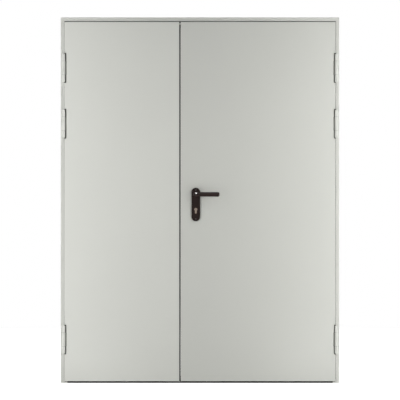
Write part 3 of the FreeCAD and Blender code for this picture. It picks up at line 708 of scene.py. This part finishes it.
@dataclass
class DoorFrame(Assembly):
    """The block frame: jambs, head, a sill dark partly as painted shade, stop seal, the keepers of the flush
    bolts and a black strip painted as the leaves' shadow.
    """

    seal: SealSizes = SealSizes()
    screw_radius: float = 3.6 * MM
    screw_inset: float = 9.0 * MM

    def build(self) -> list[bpy.types.Object]:
        """Dresses the frame and adds its seal and screws.

        Returns:
            The pieces made.
        """
        for node in ("left_jamb", "right_jamb", "frame_head"):
            dress(node, FRAME_COAT)
        # The sill's near black is partly painted shade under the leaves.
        dress("threshold", SILL_DARK_AND_SHADE)
        for node in ("head_keeper", "threshold_keeper"):
            dress(node, ZINC_STEEL)
        self._stop_seal()
        # The black strip under the lap is painted shadow round the leaves.
        self._painted_lap_shadow()
        self._keeper_screws()
        return self.pieces

    def _stop_seal(self) -> None:
        """The rubber round the stop: a flat base, a round bulb towards the leaves and a small lip."""
        low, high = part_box("frame_gasket")
        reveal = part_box("right_jamb")[0].x
        sill_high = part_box("threshold")[1]
        strip = self.seal.width
        stop = reveal + self.seal.stop_width
        outer = stop - (self.seal.stop_width - strip) / 2
        top = high.z
        sill_top = sill_high.z - self.seal.sill_drop
        back = high.y
        front = back - self.seal.base_height
        bm = bmesh.new()
        for sign in (-1, 1):
            edge, inner = sign * outer, sign * (outer - strip)
            add_block(bm, (min(edge, inner), front, sill_high.z), (max(edge, inner), back, top))
        add_block(bm, (-outer + strip, front, top - strip), (outer - strip, back, top))
        add_block(bm, (-stop, front, sill_top - strip), (stop, back, sill_top))
        base = to_piece("stop_seal_base", bm, SEAL_RUBBER)
        self.keep(base, Body.FRAME, "seal_rubber", "frame_gasket")
        radius = (high.y - low.y) / 2
        middle_y = (low.y + high.y) / 2
        for name, shift, depth, bulb in (("stop_seal_bulb", 0.0, middle_y, radius),
                                         ("stop_seal_lip", self.seal.lip_shift, front, self.seal.lip_radius)):
            x = outer - strip / 2 + shift
            z = top - strip / 2 + shift
            arch = [Vector((-x, depth, sill_high.z)), Vector((-x, depth, z)), Vector((x, depth, z)),
                    Vector((x, depth, sill_high.z))]
            self.add_seal_run(name, arch, Body.FRAME, bulb_radius=bulb, corner_radius=self.seal.corner_radius)
        sill = [Vector((sign * stop, middle_y, sill_top - strip / 2)) for sign in (-1, 1)]
        self.add_seal_run("sill_seal_bulb", sill, Body.FRAME, bulb_radius=radius)

    def _painted_lap_shadow(self) -> None:
        """A thin black strip on the frame's face under the lap of the leaves, painted shadow: it peeks out
        past the leaves' edges as the dark line of their shadow.
        """
        s = self.seal
        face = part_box("left_jamb")[0].y
        low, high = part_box("passive_front_sheet")
        left = low.x - s.shadow_peek_left
        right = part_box("active_front_sheet")[1].x + s.shadow_peek_right
        top = high.z + s.shadow_peek_top
        bm = bmesh.new()
        for x0, x1 in ((left, left + s.lap_width), (right - s.lap_width, right)):
            add_block(bm, (x0, face - s.lap_thickness, low.z + s.lap_foot), (x1, face, top - s.lap_width))
        add_block(bm, (left, face - s.lap_thickness, top - s.lap_width), (right, face, top))
        seal = soften(to_piece("lap_seal", bm, SEAL_RUBBER), s.lap_round, segments=2)
        self.keep(seal, Body.FRAME, "seal_rubber")

    def _keeper_screws(self) -> None:
        """Two screws in each plate that takes a flush bolt."""
        for node, sign in (("head_keeper", -1), ("threshold_keeper", 1)):
            low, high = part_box(node)
            z = low.z if sign < 0 else high.z
            y = (low.y + high.y) / 2
            spots = [Vector((x, y, z)) for x in (low.x + self.screw_inset, high.x - self.screw_inset)]
            self.add_screws(node + "_screws", spots, (0.0, 0.0, float(sign)), ZINC_STEEL, Body.FRAME,
                            "bright_steel", head_radius=self.screw_radius)


@dataclass(frozen=True)
class HingeSizes:
    """Sizes of the three-part barrel hinges, in metres."""

    pair_spacing: float = 320.0 * MM
    height: float = 160.0 * MM
    end_knuckle: float = 40.0 * MM
    washer: float = 1.0 * MM
    radius: float = 11.0 * MM
    chamfer: float = 0.7 * MM
    dome: float = 1.8 * MM
    dome_steps: int = 5
    foot_inset: float = 0.3 * MM
    strap_setback: float = 3.0 * MM
    strap_thickness: float = 2.5 * MM


@dataclass
class Hinges(Assembly):
    """The barrel hinges of one side: end knuckles on the frame, middle knuckles on the leaf."""

    side: Side = Side.LEFT
    leaf: Body = Body.PASSIVE
    sizes: HingeSizes = HingeSizes()

    def build(self) -> list[bpy.types.Object]:
        """Makes both halves of the side's three hinges.

        Returns:
            The pieces made.
        """
        side = self.side.name.lower()
        low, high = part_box(side + "_hinge_pins")
        axis = (low + high) / 2
        lowest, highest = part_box(side + "_hinge_frame_knuckles")
        s = self.sizes
        reach = s.radius - s.foot_inset
        inner = s.end_knuckle + s.washer
        fixed = bmesh.new()
        moving = bmesh.new()
        straps = bmesh.new()
        for top in (lowest.z + s.height, highest.z - s.pair_spacing, highest.z):
            bottom = top - s.height
            for start, end in ((bottom, bottom + s.end_knuckle), (top, top - s.end_knuckle)):
                self._barrel(fixed, axis, start, end, True)
                add_block(fixed, (axis.x - reach, axis.y, min(start, end) + s.chamfer),
                          (axis.x + reach, highest.y, max(start, end) - s.chamfer))
            self._barrel(moving, axis, bottom + inner, top - inner, False)
            self._strap(straps, axis, bottom + inner, top - inner)
        self.keep(to_piece(side + "_hinge_barrels_on_frame", fixed, HINGE_COAT), Body.FRAME, "hinge_paint",
                  side + "_hinge_frame_knuckles", side + "_hinge_pins")
        self.keep(to_piece(side + "_hinge_barrels_on_leaf", moving, HINGE_COAT), self.leaf, "hinge_paint",
                  self._leaf_node("hinge_knuckles"))
        # The straps and the washers take the dark steel that is painted shade in the notch and the joints.
        self.keep(to_piece(side + "_hinge_straps", straps, HINGE_SHADE_STEEL), self.leaf, "hinge_paint")
        dress(side + "_hinge_washers", HINGE_SHADE_STEEL)
        return self.pieces

    def _leaf_node(self, part: str) -> str:
        """The name of one of the leaf's solids."""
        return self.leaf.value.replace("leaf", part)

    def _barrel(self, bm: bmesh.types.BMesh, axis: Vector, start: float, end: float, domed: bool) -> None:
        """Adds one knuckle, chamfered at its ends; an outer one starts with a rounded end.

        Args:
            bm: The mesh to add to.
            axis: A point on the pin's axis.
            start: Level of the outer end.
            end: Level of the inner end.
            domed: Whether the outer end is rounded.
        """
        r, c, d = self.sizes.radius, self.sizes.chamfer, self.sizes.dome
        length = abs(end - start)
        outline = [(0.0, 0.0)]
        if domed:
            for i in range(self.sizes.dome_steps + 1):
                a = math.pi / 2 * i / self.sizes.dome_steps
                outline.append((r - d + d * math.sin(a), d - d * math.cos(a)))
        else:
            outline += [(r - c, 0.0), (r, c)]
        outline += [(r, length - c), (r - c, length), (0.0, length)]
        direction = Vector((0.0, 0.0, 1.0 if end > start else -1.0))
        add_turned(bm, outline, Vector((axis.x, axis.y, start)), direction)

    def _strap(self, bm: bmesh.types.BMesh, axis: Vector, bottom: float, top: float) -> None:
        """Adds the strap behind the leaf's flange that carries a middle knuckle.

        Args:
            bm: The mesh to add to.
            axis: A point on the pin's axis.
            bottom: The strap's lower level.
            top: Its upper level.
        """
        low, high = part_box(self._leaf_node("back_pan"))
        edge = low.x if self.side is Side.LEFT else high.x
        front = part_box(self._leaf_node("front_sheet"))[0].y + self.sizes.strap_setback
        x0, x1 = sorted((axis.x, edge))
        add_block(bm, (x0, front, bottom), (x1, front + self.sizes.strap_thickness, top))


@dataclass
class Leaf(Assembly):
    """One leaf: coated sheets round a wool core, its dog bolts and its lower seal."""

    prefix: str = "passive"
    body: Body = Body.PASSIVE
    coat: Finish = NARROW_LEAF_COAT
    lip_raise: float = 0.1 * MM
    lip_height: float = 2.2 * MM
    lip_lift: float = 0.5 * MM
    lip_depth: float = 3.0 * MM
    lip_inset: float = 1.5 * MM
    lip_round: float = 0.4 * MM

    def build(self) -> list[bpy.types.Object]:
        """Dresses the leaf's solids and adds the rubber lip along its foot.

        Returns:
            The pieces made.
        """
        dress(self.prefix + "_front_sheet", self.coat)
        dress(self.prefix + "_back_pan", self.coat)
        dress(self.prefix + "_core", WOOL)
        dress(self.prefix + "_dog_bolts", ZINC_STEEL)
        dress(self.prefix + "_drop_seal", SEAL_RUBBER)
        self._foot_lip()
        return self.pieces

    def _foot_lip(self) -> None:
        """The thin black rubber lip along the lower edge of the leaf's front sheet; its black is partly
        painted shade for the gap under the leaf.
        """
        low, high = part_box(self.prefix + "_front_sheet")
        bm = bmesh.new()
        add_block(bm, (low.x + self.lip_inset, low.y - self.lip_lift, low.z + self.lip_raise),
                  (high.x - self.lip_inset, low.y + self.lip_depth, low.z + self.lip_height))
        lip = soften(to_piece(self.prefix + "_foot_lip", bm, SEAL_RUBBER), self.lip_round, segments=2)
        self.keep(lip, self.body, "seal_rubber")


@dataclass
class MeetingEdge(Assembly):
    """The passive leaf's meeting edge: seal, strike and flush bolts."""

    seal: SealSizes = SealSizes()
    screw_radius: float = 3.4 * MM
    screw_inset: float = 9.0 * MM
    tab_from_end: float = 90.0 * MM
    tab_width: float = 9.0 * MM
    tab_height: float = 62.0 * MM
    tab_lift: float = 1.6 * MM
    tab_sink: float = 0.5 * MM
    tab_round: float = 0.6 * MM

    def build(self) -> list[bpy.types.Object]:
        """Makes the seal and the small parts in the edge.

        Returns:
            The pieces made.
        """
        for node in ("flush_bolt_upper", "flush_bolt_lower", "strike_plate"):
            dress(node, ZINC_STEEL)
        self._seal()
        self._screws()
        self._bolt_tabs()
        return self.pieces

    def _seal(self) -> None:
        """Two joined bulbs on a flat base, which reach across the gap between the leaves."""
        low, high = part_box("meeting_gasket")
        bm = bmesh.new()
        add_block(bm, tuple(low), (low.x + self.seal.meeting_base, high.y, high.z))
        base = to_piece("meeting_seal_base", bm, SEAL_RUBBER)
        self.keep(base, Body.PASSIVE, "seal_rubber", "meeting_gasket")
        y = (low.y + high.y) / 2
        inner, outer = self.seal.meeting_inner, self.seal.meeting_outer
        inner_x = low.x + self.seal.meeting_base / 2 + inner
        for name, x, radius in (("meeting_seal_inner_bulb", inner_x, inner),
                                ("meeting_seal_outer_bulb", high.x - outer, outer)):
            run = [Vector((x, y, low.z)), Vector((x, y, high.z))]
            self.add_seal_run(name, run, Body.PASSIVE, bulb_radius=radius)

    def _screws(self) -> None:
        """The two screws that hold the strike in the leaf's edge."""
        low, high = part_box("strike_plate")
        middle = (low.y + high.y) / 2
        spots = [Vector((high.x, middle, z)) for z in (low.z + self.screw_inset, high.z - self.screw_inset)]
        self.add_screws("strike_screws", spots, (1.0, 0.0, 0.0), ZINC_STEEL, Body.PASSIVE, "bright_steel",
                        head_radius=self.screw_radius)

    def _bolt_tabs(self) -> None:
        """The small levers that draw the flush bolts."""
        for node, sign in (("flush_bolt_upper", -1), ("flush_bolt_lower", 1)):
            low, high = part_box(node)
            middle = (low.y + high.y) / 2
            end = low.z if sign < 0 else high.z
            z = end - sign * self.tab_from_end
            bm = bmesh.new()
            add_block(bm, (high.x - self.tab_sink, middle - self.tab_width / 2, z - self.tab_height / 2),
                      (high.x + self.tab_lift, middle + self.tab_width / 2, z + self.tab_height / 2))
            tab = soften(to_piece(node + "_tab", bm, ZINC_STEEL), self.tab_round)
            self.keep(tab, Body.PASSIVE, "bright_steel")


@dataclass(frozen=True)
class LeverSizes:
    """Sizes of a lever handle, in metres, measured from its turning axis."""

    neck: float = 10.0 * MM
    shoulder: float = 14.5 * MM
    shoulder_start: float = 6.0 * MM
    bend: float = 15.0 * MM
    bend_steps: int = 14
    depth: float = 8.5 * MM
    stations: tuple[tuple[float, float], ...] = ((15.0 * MM, 12.6 * MM), (24.0 * MM, 12.8 * MM),
                                                 (46.0 * MM, 13.0 * MM), (70.0 * MM, 13.1 * MM),
                                                 (96.0 * MM, 13.3 * MM), (125.0 * MM, 13.5 * MM))
    reach: float = 136.0 * MM
    rise: float = 1.0 * MM
    tip_steps: int = 12
    tip_fullness: float = 0.7
    ring_steps: int = 48
    collar: float = 18.0 * MM
    collar_height: float = 3.0 * MM
    collar_rim: float = 0.45 * MM
    collar_slope_play: float = 1.5 * MM
    collar_bore_play: float = 0.4 * MM
    collar_foot_play: float = 0.2 * MM
    collar_bore_depth: float = 1.5 * MM


@dataclass
class LeverHandles(Assembly):
    """The two lever handles, which turn together on the spindle."""

    sizes: LeverSizes = LeverSizes()

    def build(self) -> list[bpy.types.Object]:
        """Makes both levers.

        Returns:
            The pieces made.
        """
        dress("lever_spindle", ZINC_STEEL)
        low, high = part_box("lever_spindle")
        axis = (low + high) / 2
        for node, sign in (("front_lever", -1.0), ("back_lever", 1.0)):
            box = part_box(node)
            outer = box[0].y if sign < 0 else box[1].y
            root = box[1].y if sign < 0 else box[0].y
            lever = self._lever(node + "_grip", axis, root, outer - sign * self.sizes.depth, sign)
            self.keep(lever, Body.LEVERS, "handle_black", node)
        return self.pieces

    def _lever(self, name: str, axis: Vector, root: float, grip: float, sign: float) -> bpy.types.Object:
        """Sweeps an oval from the neck round the bend and along the grip to its round tip.

        Args:
            name: The piece's name.
            axis: A point on the turning axis.
            root: Depth at which the neck starts, behind the plate's face.
            grip: Depth of the grip's middle line.
            sign: -1 for the lever on the front, 1 for the one on the back.

        Returns:
            The finished lever.
        """
        s = self.sizes
        outward = Vector((0.0, sign, 0.0))
        right = Vector((1.0, 0.0, 0.0))
        corner = Vector((axis.x, grip, axis.z)) - outward * s.bend
        level = Vector((0.0, 0.0, s.rise))
        flare = Vector((axis.x, root, axis.z)) + outward * s.shoulder_start
        rings = [self._ring(Vector((axis.x, root, axis.z)), right, s.neck, s.neck),
                 self._ring(flare, right, s.neck, s.neck)]
        for i in range(s.bend_steps + 1):
            a = math.pi / 2 * i / s.bend_steps
            centre = corner + right * s.bend - right * s.bend * math.cos(a) + outward * s.bend * math.sin(a)
            across = right * math.cos(a) - outward * math.sin(a)
            share = i / s.bend_steps
            half_depth = s.shoulder + (s.depth - s.shoulder) * share
            half_height = s.shoulder + (s.stations[0][1] - s.shoulder) * share
            rings.append(self._ring(centre + level * share, across, half_depth, half_height))
        for along, half in s.stations[1:]:
            rings.append(self._ring(Vector((axis.x + along, grip, axis.z)) + level, -outward, s.depth, half))
        start, half = s.stations[-1]
        for i in range(1, s.tip_steps):
            a = math.pi / 2 * i / s.tip_steps
            centre = Vector((axis.x + start + (s.reach - start) * math.sin(a), grip, axis.z)) + level
            taper = math.cos(a) ** s.tip_fullness
            rings.append(self._ring(centre, -outward, s.depth * taper, half * taper))
        rings.append([Vector((axis.x + s.reach, grip, axis.z)) + level])
        bm = bmesh.new()
        add_tube(bm, rings)
        return to_piece(name, bm, HANDLE_POLYMER, ROUND_ANGLE)

    def _ring(self, centre: Vector, across: Vector, depth: float, height: float) -> list[Vector]:
        """One upright oval of the sweep.

        Args:
            centre: Its middle.
            across: Its level direction.
            depth: Half its size in that direction.
            height: Half its height.

        Returns:
            The oval's points.
        """
        ring = []
        for i in range(self.sizes.ring_steps):
            a = 2 * math.pi * i / self.sizes.ring_steps
            ring.append(centre + across * depth * math.cos(a) + Vector((0.0, 0.0, height * math.sin(a))))
        return ring


@dataclass(frozen=True)
class PlateSizes:
    """Sizes of the handle plates and of the cylinder in them, in metres."""

    edge_round: float = 3.2 * MM
    edge_steps: int = 6
    end_steps: int = 24
    cylinder_radius: float = 8.5 * MM
    cylinder_web: float = 5.0 * MM
    cylinder_chamfer: float = 0.5 * MM
    plug_radius: float = 6.4 * MM
    plug_lift: float = 0.5 * MM
    plug_chamfer_share: float = 0.6
    slot_width: float = 2.4 * MM
    slot_height: float = 9.0 * MM
    slot_lift: float = 0.05 * MM
    head_radius: float = 4.3 * MM
    head_height: float = 0.9 * MM
    head_lift: float = 0.2 * MM
    screw_inset: float = 13.5 * MM
    forend_head_radius: float = 3.4 * MM
    forend_screw_inset: float = 9.0 * MM


@dataclass
class LockSet(Assembly):
    """The active leaf's lock: forend, bolts, cylinder and the two handle plates."""

    sizes: PlateSizes = PlateSizes()
    lever: LeverSizes = LeverSizes()

    def build(self) -> list[bpy.types.Object]:
        """Makes the plates, the cylinder and their screws.

        Returns:
            The pieces made.
        """
        for node in ("lock_case", "lock_forend", "latch_bolt", "dead_bolt"):
            dress(node, ZINC_STEEL)
        dress("plate_screws", SCREW_BLACK)
        self._plate("front_handle_plate", -1.0)
        self._plate("back_handle_plate", 1.0)
        self._cylinder()
        self._forend_screws()
        return self.pieces

    def _outline(self, low: Vector, high: Vector, y: float, inset: float) -> list[Vector]:
        """The plate's long outline with round ends.

        Args:
            low: The plate's lowest corner.
            high: Its highest corner.
            y: Depth of the outline.
            inset: How far it is drawn in.

        Returns:
            The outline's points.
        """
        x = (low.x + high.x) / 2
        half = (high.x - low.x) / 2
        radius = half - inset
        points = []
        for centre, start in ((high.z - half, 0.0), (low.z + half, math.pi)):
            for i in range(self.sizes.end_steps + 1):
                a = start + math.pi * i / self.sizes.end_steps
                points.append(Vector((x + radius * math.cos(a), y, centre + radius * math.sin(a))))
        return points

    def _plate(self, node: str, sign: float) -> None:
        """One handle plate with a rounded rim, the lever's guide collar and two screws.

        Args:
            node: The solid it stands for.
            sign: -1 on the front, 1 on the back.
        """
        s = self.sizes
        low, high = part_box(node)
        leaf, face = (high.y, low.y) if sign < 0 else (low.y, high.y)
        rings = [self._outline(low, high, leaf, 0.0)]
        for i in range(s.edge_steps + 1):
            a = math.pi / 2 * i / s.edge_steps
            rings.append(self._outline(low, high, face - sign * s.edge_round * (1 - math.sin(a)),
                                       s.edge_round * (1 - math.cos(a))))
        bm = bmesh.new()
        add_tube(bm, rings)
        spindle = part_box("lever_spindle")
        axis = (spindle[0] + spindle[1]) / 2
        guide = self.lever
        turned = [(0.0, 0.0), (guide.collar, 0.0), (guide.collar, guide.collar_rim),
                  (guide.neck + guide.collar_slope_play, guide.collar_height),
                  (guide.neck + guide.collar_bore_play, guide.collar_height),
                  (guide.neck + guide.collar_foot_play, guide.collar_bore_depth),
                  (0.0, guide.collar_bore_depth)]
        add_turned(bm, turned, Vector((axis.x, face, axis.z)), Vector((0.0, sign, 0.0)))
        self.keep(to_piece(node + "_cover", bm, HANDLE_POLYMER, RIM_ANGLE), Body.ACTIVE, "handle_black", node)
        depth = face + sign * s.head_lift
        spots = [Vector((axis.x, depth, z)) for z in (low.z + s.screw_inset, high.z - s.screw_inset)]
        self.add_screws(node + "_screws", spots, (0.0, sign, 0.0), SCREW_BLACK, Body.ACTIVE, "screw_black",
                        head_radius=s.head_radius, head_height=s.head_height)

    def _profile(self, low: Vector, high: Vector, y: float, inset: float) -> list[Vector]:
        """The keyhole shaped outline of a profile cylinder.

        Args:
            low: The cylinder's lowest corner.
            high: Its highest corner.
            y: Depth of the outline.
            inset: How far it is drawn in.

        Returns:
            The outline's points.
        """
        s = self.sizes
        x = (low.x + high.x) / 2
        top = high.z - s.cylinder_radius
        foot = low.z + s.cylinder_web
        radius, web = s.cylinder_radius - inset, s.cylinder_web - inset
        corner = math.asin(web / radius)
        start = -math.pi / 2 + corner
        sweep = 2 * math.pi - 2 * corner
        points = []
        for i in range(s.end_steps + 1):
            a = start + sweep * i / s.end_steps
            points.append(Vector((x + radius * math.cos(a), y, top + radius * math.sin(a))))
        for i in range(s.end_steps // 2 + 1):
            a = math.pi + math.pi * i / (s.end_steps // 2)
            points.append(Vector((x + web * math.cos(a), y, foot + web * math.sin(a))))
        return points

    def _cylinder(self) -> None:
        """The cylinder's body, its turning plug at both ends and dark blocks on the plugs that stand for the
        key slots, painted shade for their hollows.
        """
        s = self.sizes
        low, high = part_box("profile_cylinder")
        c = s.cylinder_chamfer
        bm = bmesh.new()
        add_tube(bm, [self._profile(low, high, low.y, c), self._profile(low, high, low.y + c, 0.0),
                      self._profile(low, high, high.y - c, 0.0), self._profile(low, high, high.y, c)])
        slots = bmesh.new()
        x = (low.x + high.x) / 2
        z = high.z - s.cylinder_radius
        chamfer = s.plug_lift * s.plug_chamfer_share
        for y, sign in ((low.y, -1.0), (high.y, 1.0)):
            turned = [(0.0, -c), (s.plug_radius, -c), (s.plug_radius, chamfer),
                      (s.plug_radius - chamfer, s.plug_lift), (0.0, s.plug_lift)]
            add_turned(bm, turned, Vector((x, y, z)), Vector((0.0, sign, 0.0)))
            y0, y1 = sorted((y, y + sign * (s.plug_lift + s.slot_lift)))
            add_block(slots, (x - s.slot_width / 2, y0, z - s.slot_height / 2),
                      (x + s.slot_width / 2, y1, z + s.slot_height / 2))
        self.keep(to_piece("cylinder_with_plugs", bm, CYLINDER_NICKEL, RIM_ANGLE), Body.ACTIVE,
                  "cylinder_nickel", "profile_cylinder")
        self.keep(to_piece("key_slots", slots, KEY_SLOT_PAINTED_SHADE), Body.ACTIVE, "cylinder_nickel")

    def _forend_screws(self) -> None:
        """The two screws that hold the lock in the leaf's edge."""
        low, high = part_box("lock_forend")
        middle = (low.y + high.y) / 2
        inset = self.sizes.forend_screw_inset
        spots = [Vector((low.x, middle, z)) for z in (low.z + inset, high.z - inset)]
        self.add_screws("forend_screws", spots, (-1.0, 0.0, 0.0), ZINC_STEEL, Body.ACTIVE, "bright_steel",
                        head_radius=self.sizes.forend_head_radius)


# The studio


@dataclass(frozen=True)
class SoftLamp:
    """One rectangular studio lamp aimed at a point of the door."""

    name: str
    place: Point
    aim: Point
    width: float
    height: float
    power: float
    only_gloss: bool = False
    receivers: tuple[str, ...] = ()

    def build(self) -> None:
        """Makes the lamp; one for gloss alone is seen in reflections and lights nothing else."""
        data = bpy.data.lights.new(self.name, "AREA")
        data.shape = "RECTANGLE"
        data.size = self.width
        data.size_y = self.height
        data.energy = self.power
        lamp = bpy.data.objects.new(self.name, data)
        lamp.location = self.place
        beam = Vector(self.aim) - Vector(self.place)
        lamp.rotation_euler = beam.to_track_quat("-Z", "Y").to_euler()
        lamp.visible_camera = False
        lamp.visible_diffuse = not self.only_gloss
        if self.receivers:
            lit = bpy.data.collections.new(self.name + "_receivers")
            for name in self.receivers:
                lit.objects.link(bpy.data.objects[name])
            lamp.light_linking.receiver_collection = lit
        bpy.context.scene.collection.objects.link(lamp)


@dataclass
class Studio:
    """White surroundings, a pale floor, the soft lamps and the camera.

    Two tall strips and two low lamps light the front from its sides, a weak key lamp evens them out,
    one card is mirrored by the front lever alone, and a lamp behind the door lights its back.
    """

    mid_height: float = 1.0509
    view_distance: float = 12.0
    frame_face: float = -0.0475
    field_width: float = 2.2975
    view_reach: float = 60.0
    sensor: float = 36.0
    ambient: float = 0.055
    ambient_tint: Colour = (1.0, 1.0, 0.985)
    strip_side: float = 1.35
    strip_front: float = 1.05
    strip_level: float = 1.37
    strip_width: float = 0.7
    strip_height: float = 2.7
    left_power: float = 20.8
    right_power: float = 25.2
    foot_side: float = 0.7
    foot_front: float = 0.65
    foot_level: float = 0.1
    foot_width: float = 0.5
    foot_height: float = 0.12
    foot_power: float = 0.42
    key_front: float = 4.5
    key_level: float = 2.4
    key_width: float = 1.2
    key_height: float = 0.8
    key_power: float = 4.0
    card_aim: Point = (-0.024, -0.07, 1.09)
    card_side: float = 1.9
    card_front: float = 0.9
    card_level: float = 3.77
    card_width: float = 3.0
    card_height: float = 0.9
    card_power: float = 2300.0
    card_receivers: tuple[str, ...] = ("front_lever_grip",)
    back_place: Point = (0.0, 4.0, 3.0)
    back_size: float = 2.0
    back_power: float = 150.0
    floor_size: float = 10.4
    floor_level: float = -0.5 * MM
    floor_bounce: float = 0.65
    floor_seen: float = 0.8
    floor_glow: float = 0.86

    def build(self) -> None:
        """Sets up the surroundings, lamps and camera."""
        self._world()
        self._floor()
        aim = (0.0, self.frame_face, self.mid_height)
        for side, power in ((Side.LEFT, self.left_power), (Side.RIGHT, self.right_power)):
            place = (side.value * self.strip_side, -self.strip_front, self.strip_level)
            level_aim = (0.0, self.frame_face, self.strip_level)
            SoftLamp(side.name.lower() + "_strip", place, level_aim, self.strip_width, self.strip_height,
                     power).build()
            foot = side.value * self.foot_side
            SoftLamp(side.name.lower() + "_foot_lamp", (foot, -self.foot_front, self.foot_level),
                     (foot, self.frame_face, self.foot_level), self.foot_width, self.foot_height,
                     self.foot_power).build()
        SoftLamp("key_lamp", (0.0, -self.key_front, self.key_level), aim, self.key_width, self.key_height,
                 self.key_power).build()
        place = (self.card_aim[0] - self.card_side, -self.card_front, self.card_level)
        SoftLamp("gloss_card", place, self.card_aim, self.card_width, self.card_height, self.card_power,
                 only_gloss=True, receivers=self.card_receivers).build()
        SoftLamp("back_lamp", self.back_place, aim, self.back_size, self.back_size,
                 self.back_power).build()
        self._camera()
        bpy.context.scene.view_settings.view_transform = "Standard"

    def _seen_white(self, tree: bpy.types.NodeTree, plain: bpy.types.NodeSocket,
                    white: bpy.types.NodeSocket) -> bpy.types.NodeSocket:
        """Mixes two shaders: white where seen or mirrored, plain where it only lights.

        Args:
            tree: The node tree.
            plain: Shader for light.
            white: Shader for camera, glossy and transmission rays.

        Returns:
            The mixed shader's socket.
        """
        path = tree.nodes.new("ShaderNodeLightPath")
        seen = path.outputs["Is Camera Ray"]
        for name in ("Is Glossy Ray", "Is Transmission Ray"):
            add = tree.nodes.new("ShaderNodeMath")
            add.operation = "MAXIMUM"
            tree.links.new(seen, add.inputs[0])
            tree.links.new(path.outputs[name], add.inputs[1])
            seen = add.outputs[0]
        mix = tree.nodes.new("ShaderNodeMixShader")
        tree.links.new(seen, mix.inputs["Fac"])
        tree.links.new(plain, mix.inputs[1])
        tree.links.new(white, mix.inputs[2])
        return mix.outputs[0]

    def _world(self) -> None:
        """A white world that lights the door softly."""
        world = bpy.data.worlds.new("studio_white")
        bpy.context.scene.world = world
        world.use_nodes = True
        tree = world.node_tree
        tree.nodes.clear()
        plain = tree.nodes.new("ShaderNodeBackground")
        plain.inputs["Strength"].default_value = self.ambient
        plain.inputs["Color"].default_value = (*self.ambient_tint, 1.0)
        white = tree.nodes.new("ShaderNodeBackground")
        white.inputs["Color"].default_value = grey(1.0)
        out = tree.nodes.new("ShaderNodeOutputWorld")
        mixed = self._seen_white(tree, plain.outputs[0], white.outputs[0])
        tree.links.new(mixed, out.inputs["Surface"])

    def _floor(self) -> None:
        """A pale floor that keeps the door's shadow."""
        mat = bpy.data.materials.new("studio_floor")
        mat.use_nodes = True
        tree = mat.node_tree
        tree.nodes.clear()
        bounce = tree.nodes.new("ShaderNodeBsdfDiffuse")
        bounce.inputs["Color"].default_value = grey(self.floor_bounce)
        plain = tree.nodes.new("ShaderNodeBsdfDiffuse")
        plain.inputs["Color"].default_value = grey(self.floor_seen)
        glow = tree.nodes.new("ShaderNodeEmission")
        glow.inputs["Strength"].default_value = self.floor_glow
        both = tree.nodes.new("ShaderNodeAddShader")
        tree.links.new(plain.outputs[0], both.inputs[0])
        tree.links.new(glow.outputs[0], both.inputs[1])
        out = tree.nodes.new("ShaderNodeOutputMaterial")
        mixed = self._seen_white(tree, bounce.outputs[0], both.outputs[0])
        tree.links.new(mixed, out.inputs["Surface"])
        half = self.floor_size / 2
        bm = bmesh.new()
        corners = ((-half, -half), (half, -half), (half, half), (-half, half))
        bm.faces.new([bm.verts.new((x, y, self.floor_level)) for x, y in corners])
        mesh = bpy.data.meshes.new("studio_floor")
        bm.to_mesh(mesh)
        bm.free()
        mesh.materials.append(mat)
        floor = bpy.data.objects.new("studio_floor", mesh)
        bpy.context.scene.collection.objects.link(floor)

    def _camera(self) -> None:
        """A long lens at mid-height, square to the door."""
        data = bpy.data.cameras.new("camera")
        data.sensor_width = self.sensor
        data.sensor_fit = "HORIZONTAL"
        data.lens = self.sensor * (self.view_distance + self.frame_face) / self.field_width
        data.clip_end = self.view_reach
        camera = bpy.data.objects.new("camera", data)
        camera.location = (0.0, -self.view_distance, self.mid_height)
        camera.rotation_euler = (math.pi / 2, 0.0, 0.0)
        bpy.context.scene.collection.objects.link(camera)
        bpy.context.scene.camera = camera


def main() -> None:
    """Builds the door's sub-assemblies and the studio in order."""
    logging.basicConfig(level=logging.INFO, format="%(name)s: %(message)s")
    assemblies = (
        DoorFrame(),
        Hinges(side=Side.LEFT, leaf=Body.PASSIVE),
        Leaf(prefix="passive", body=Body.PASSIVE, coat=NARROW_LEAF_COAT),
        MeetingEdge(),
        Hinges(side=Side.RIGHT, leaf=Body.ACTIVE),
        # The wide leaf takes the darker coat, which is painted shade.
        Leaf(prefix="active", body=Body.ACTIVE, coat=WIDE_LEAF_COAT_PAINTED_SHADE),
        LockSet(),
        LeverHandles(),
    )
    for assembly in assemblies:
        made = assembly.build()
        LOG.info("%s dressed, %d pieces added", type(assembly).__name__, len(made))
        for piece in made:
            LOG.info("piece %s", piece.name)
    Studio().build()


if __name__ == "__main__":
    main()
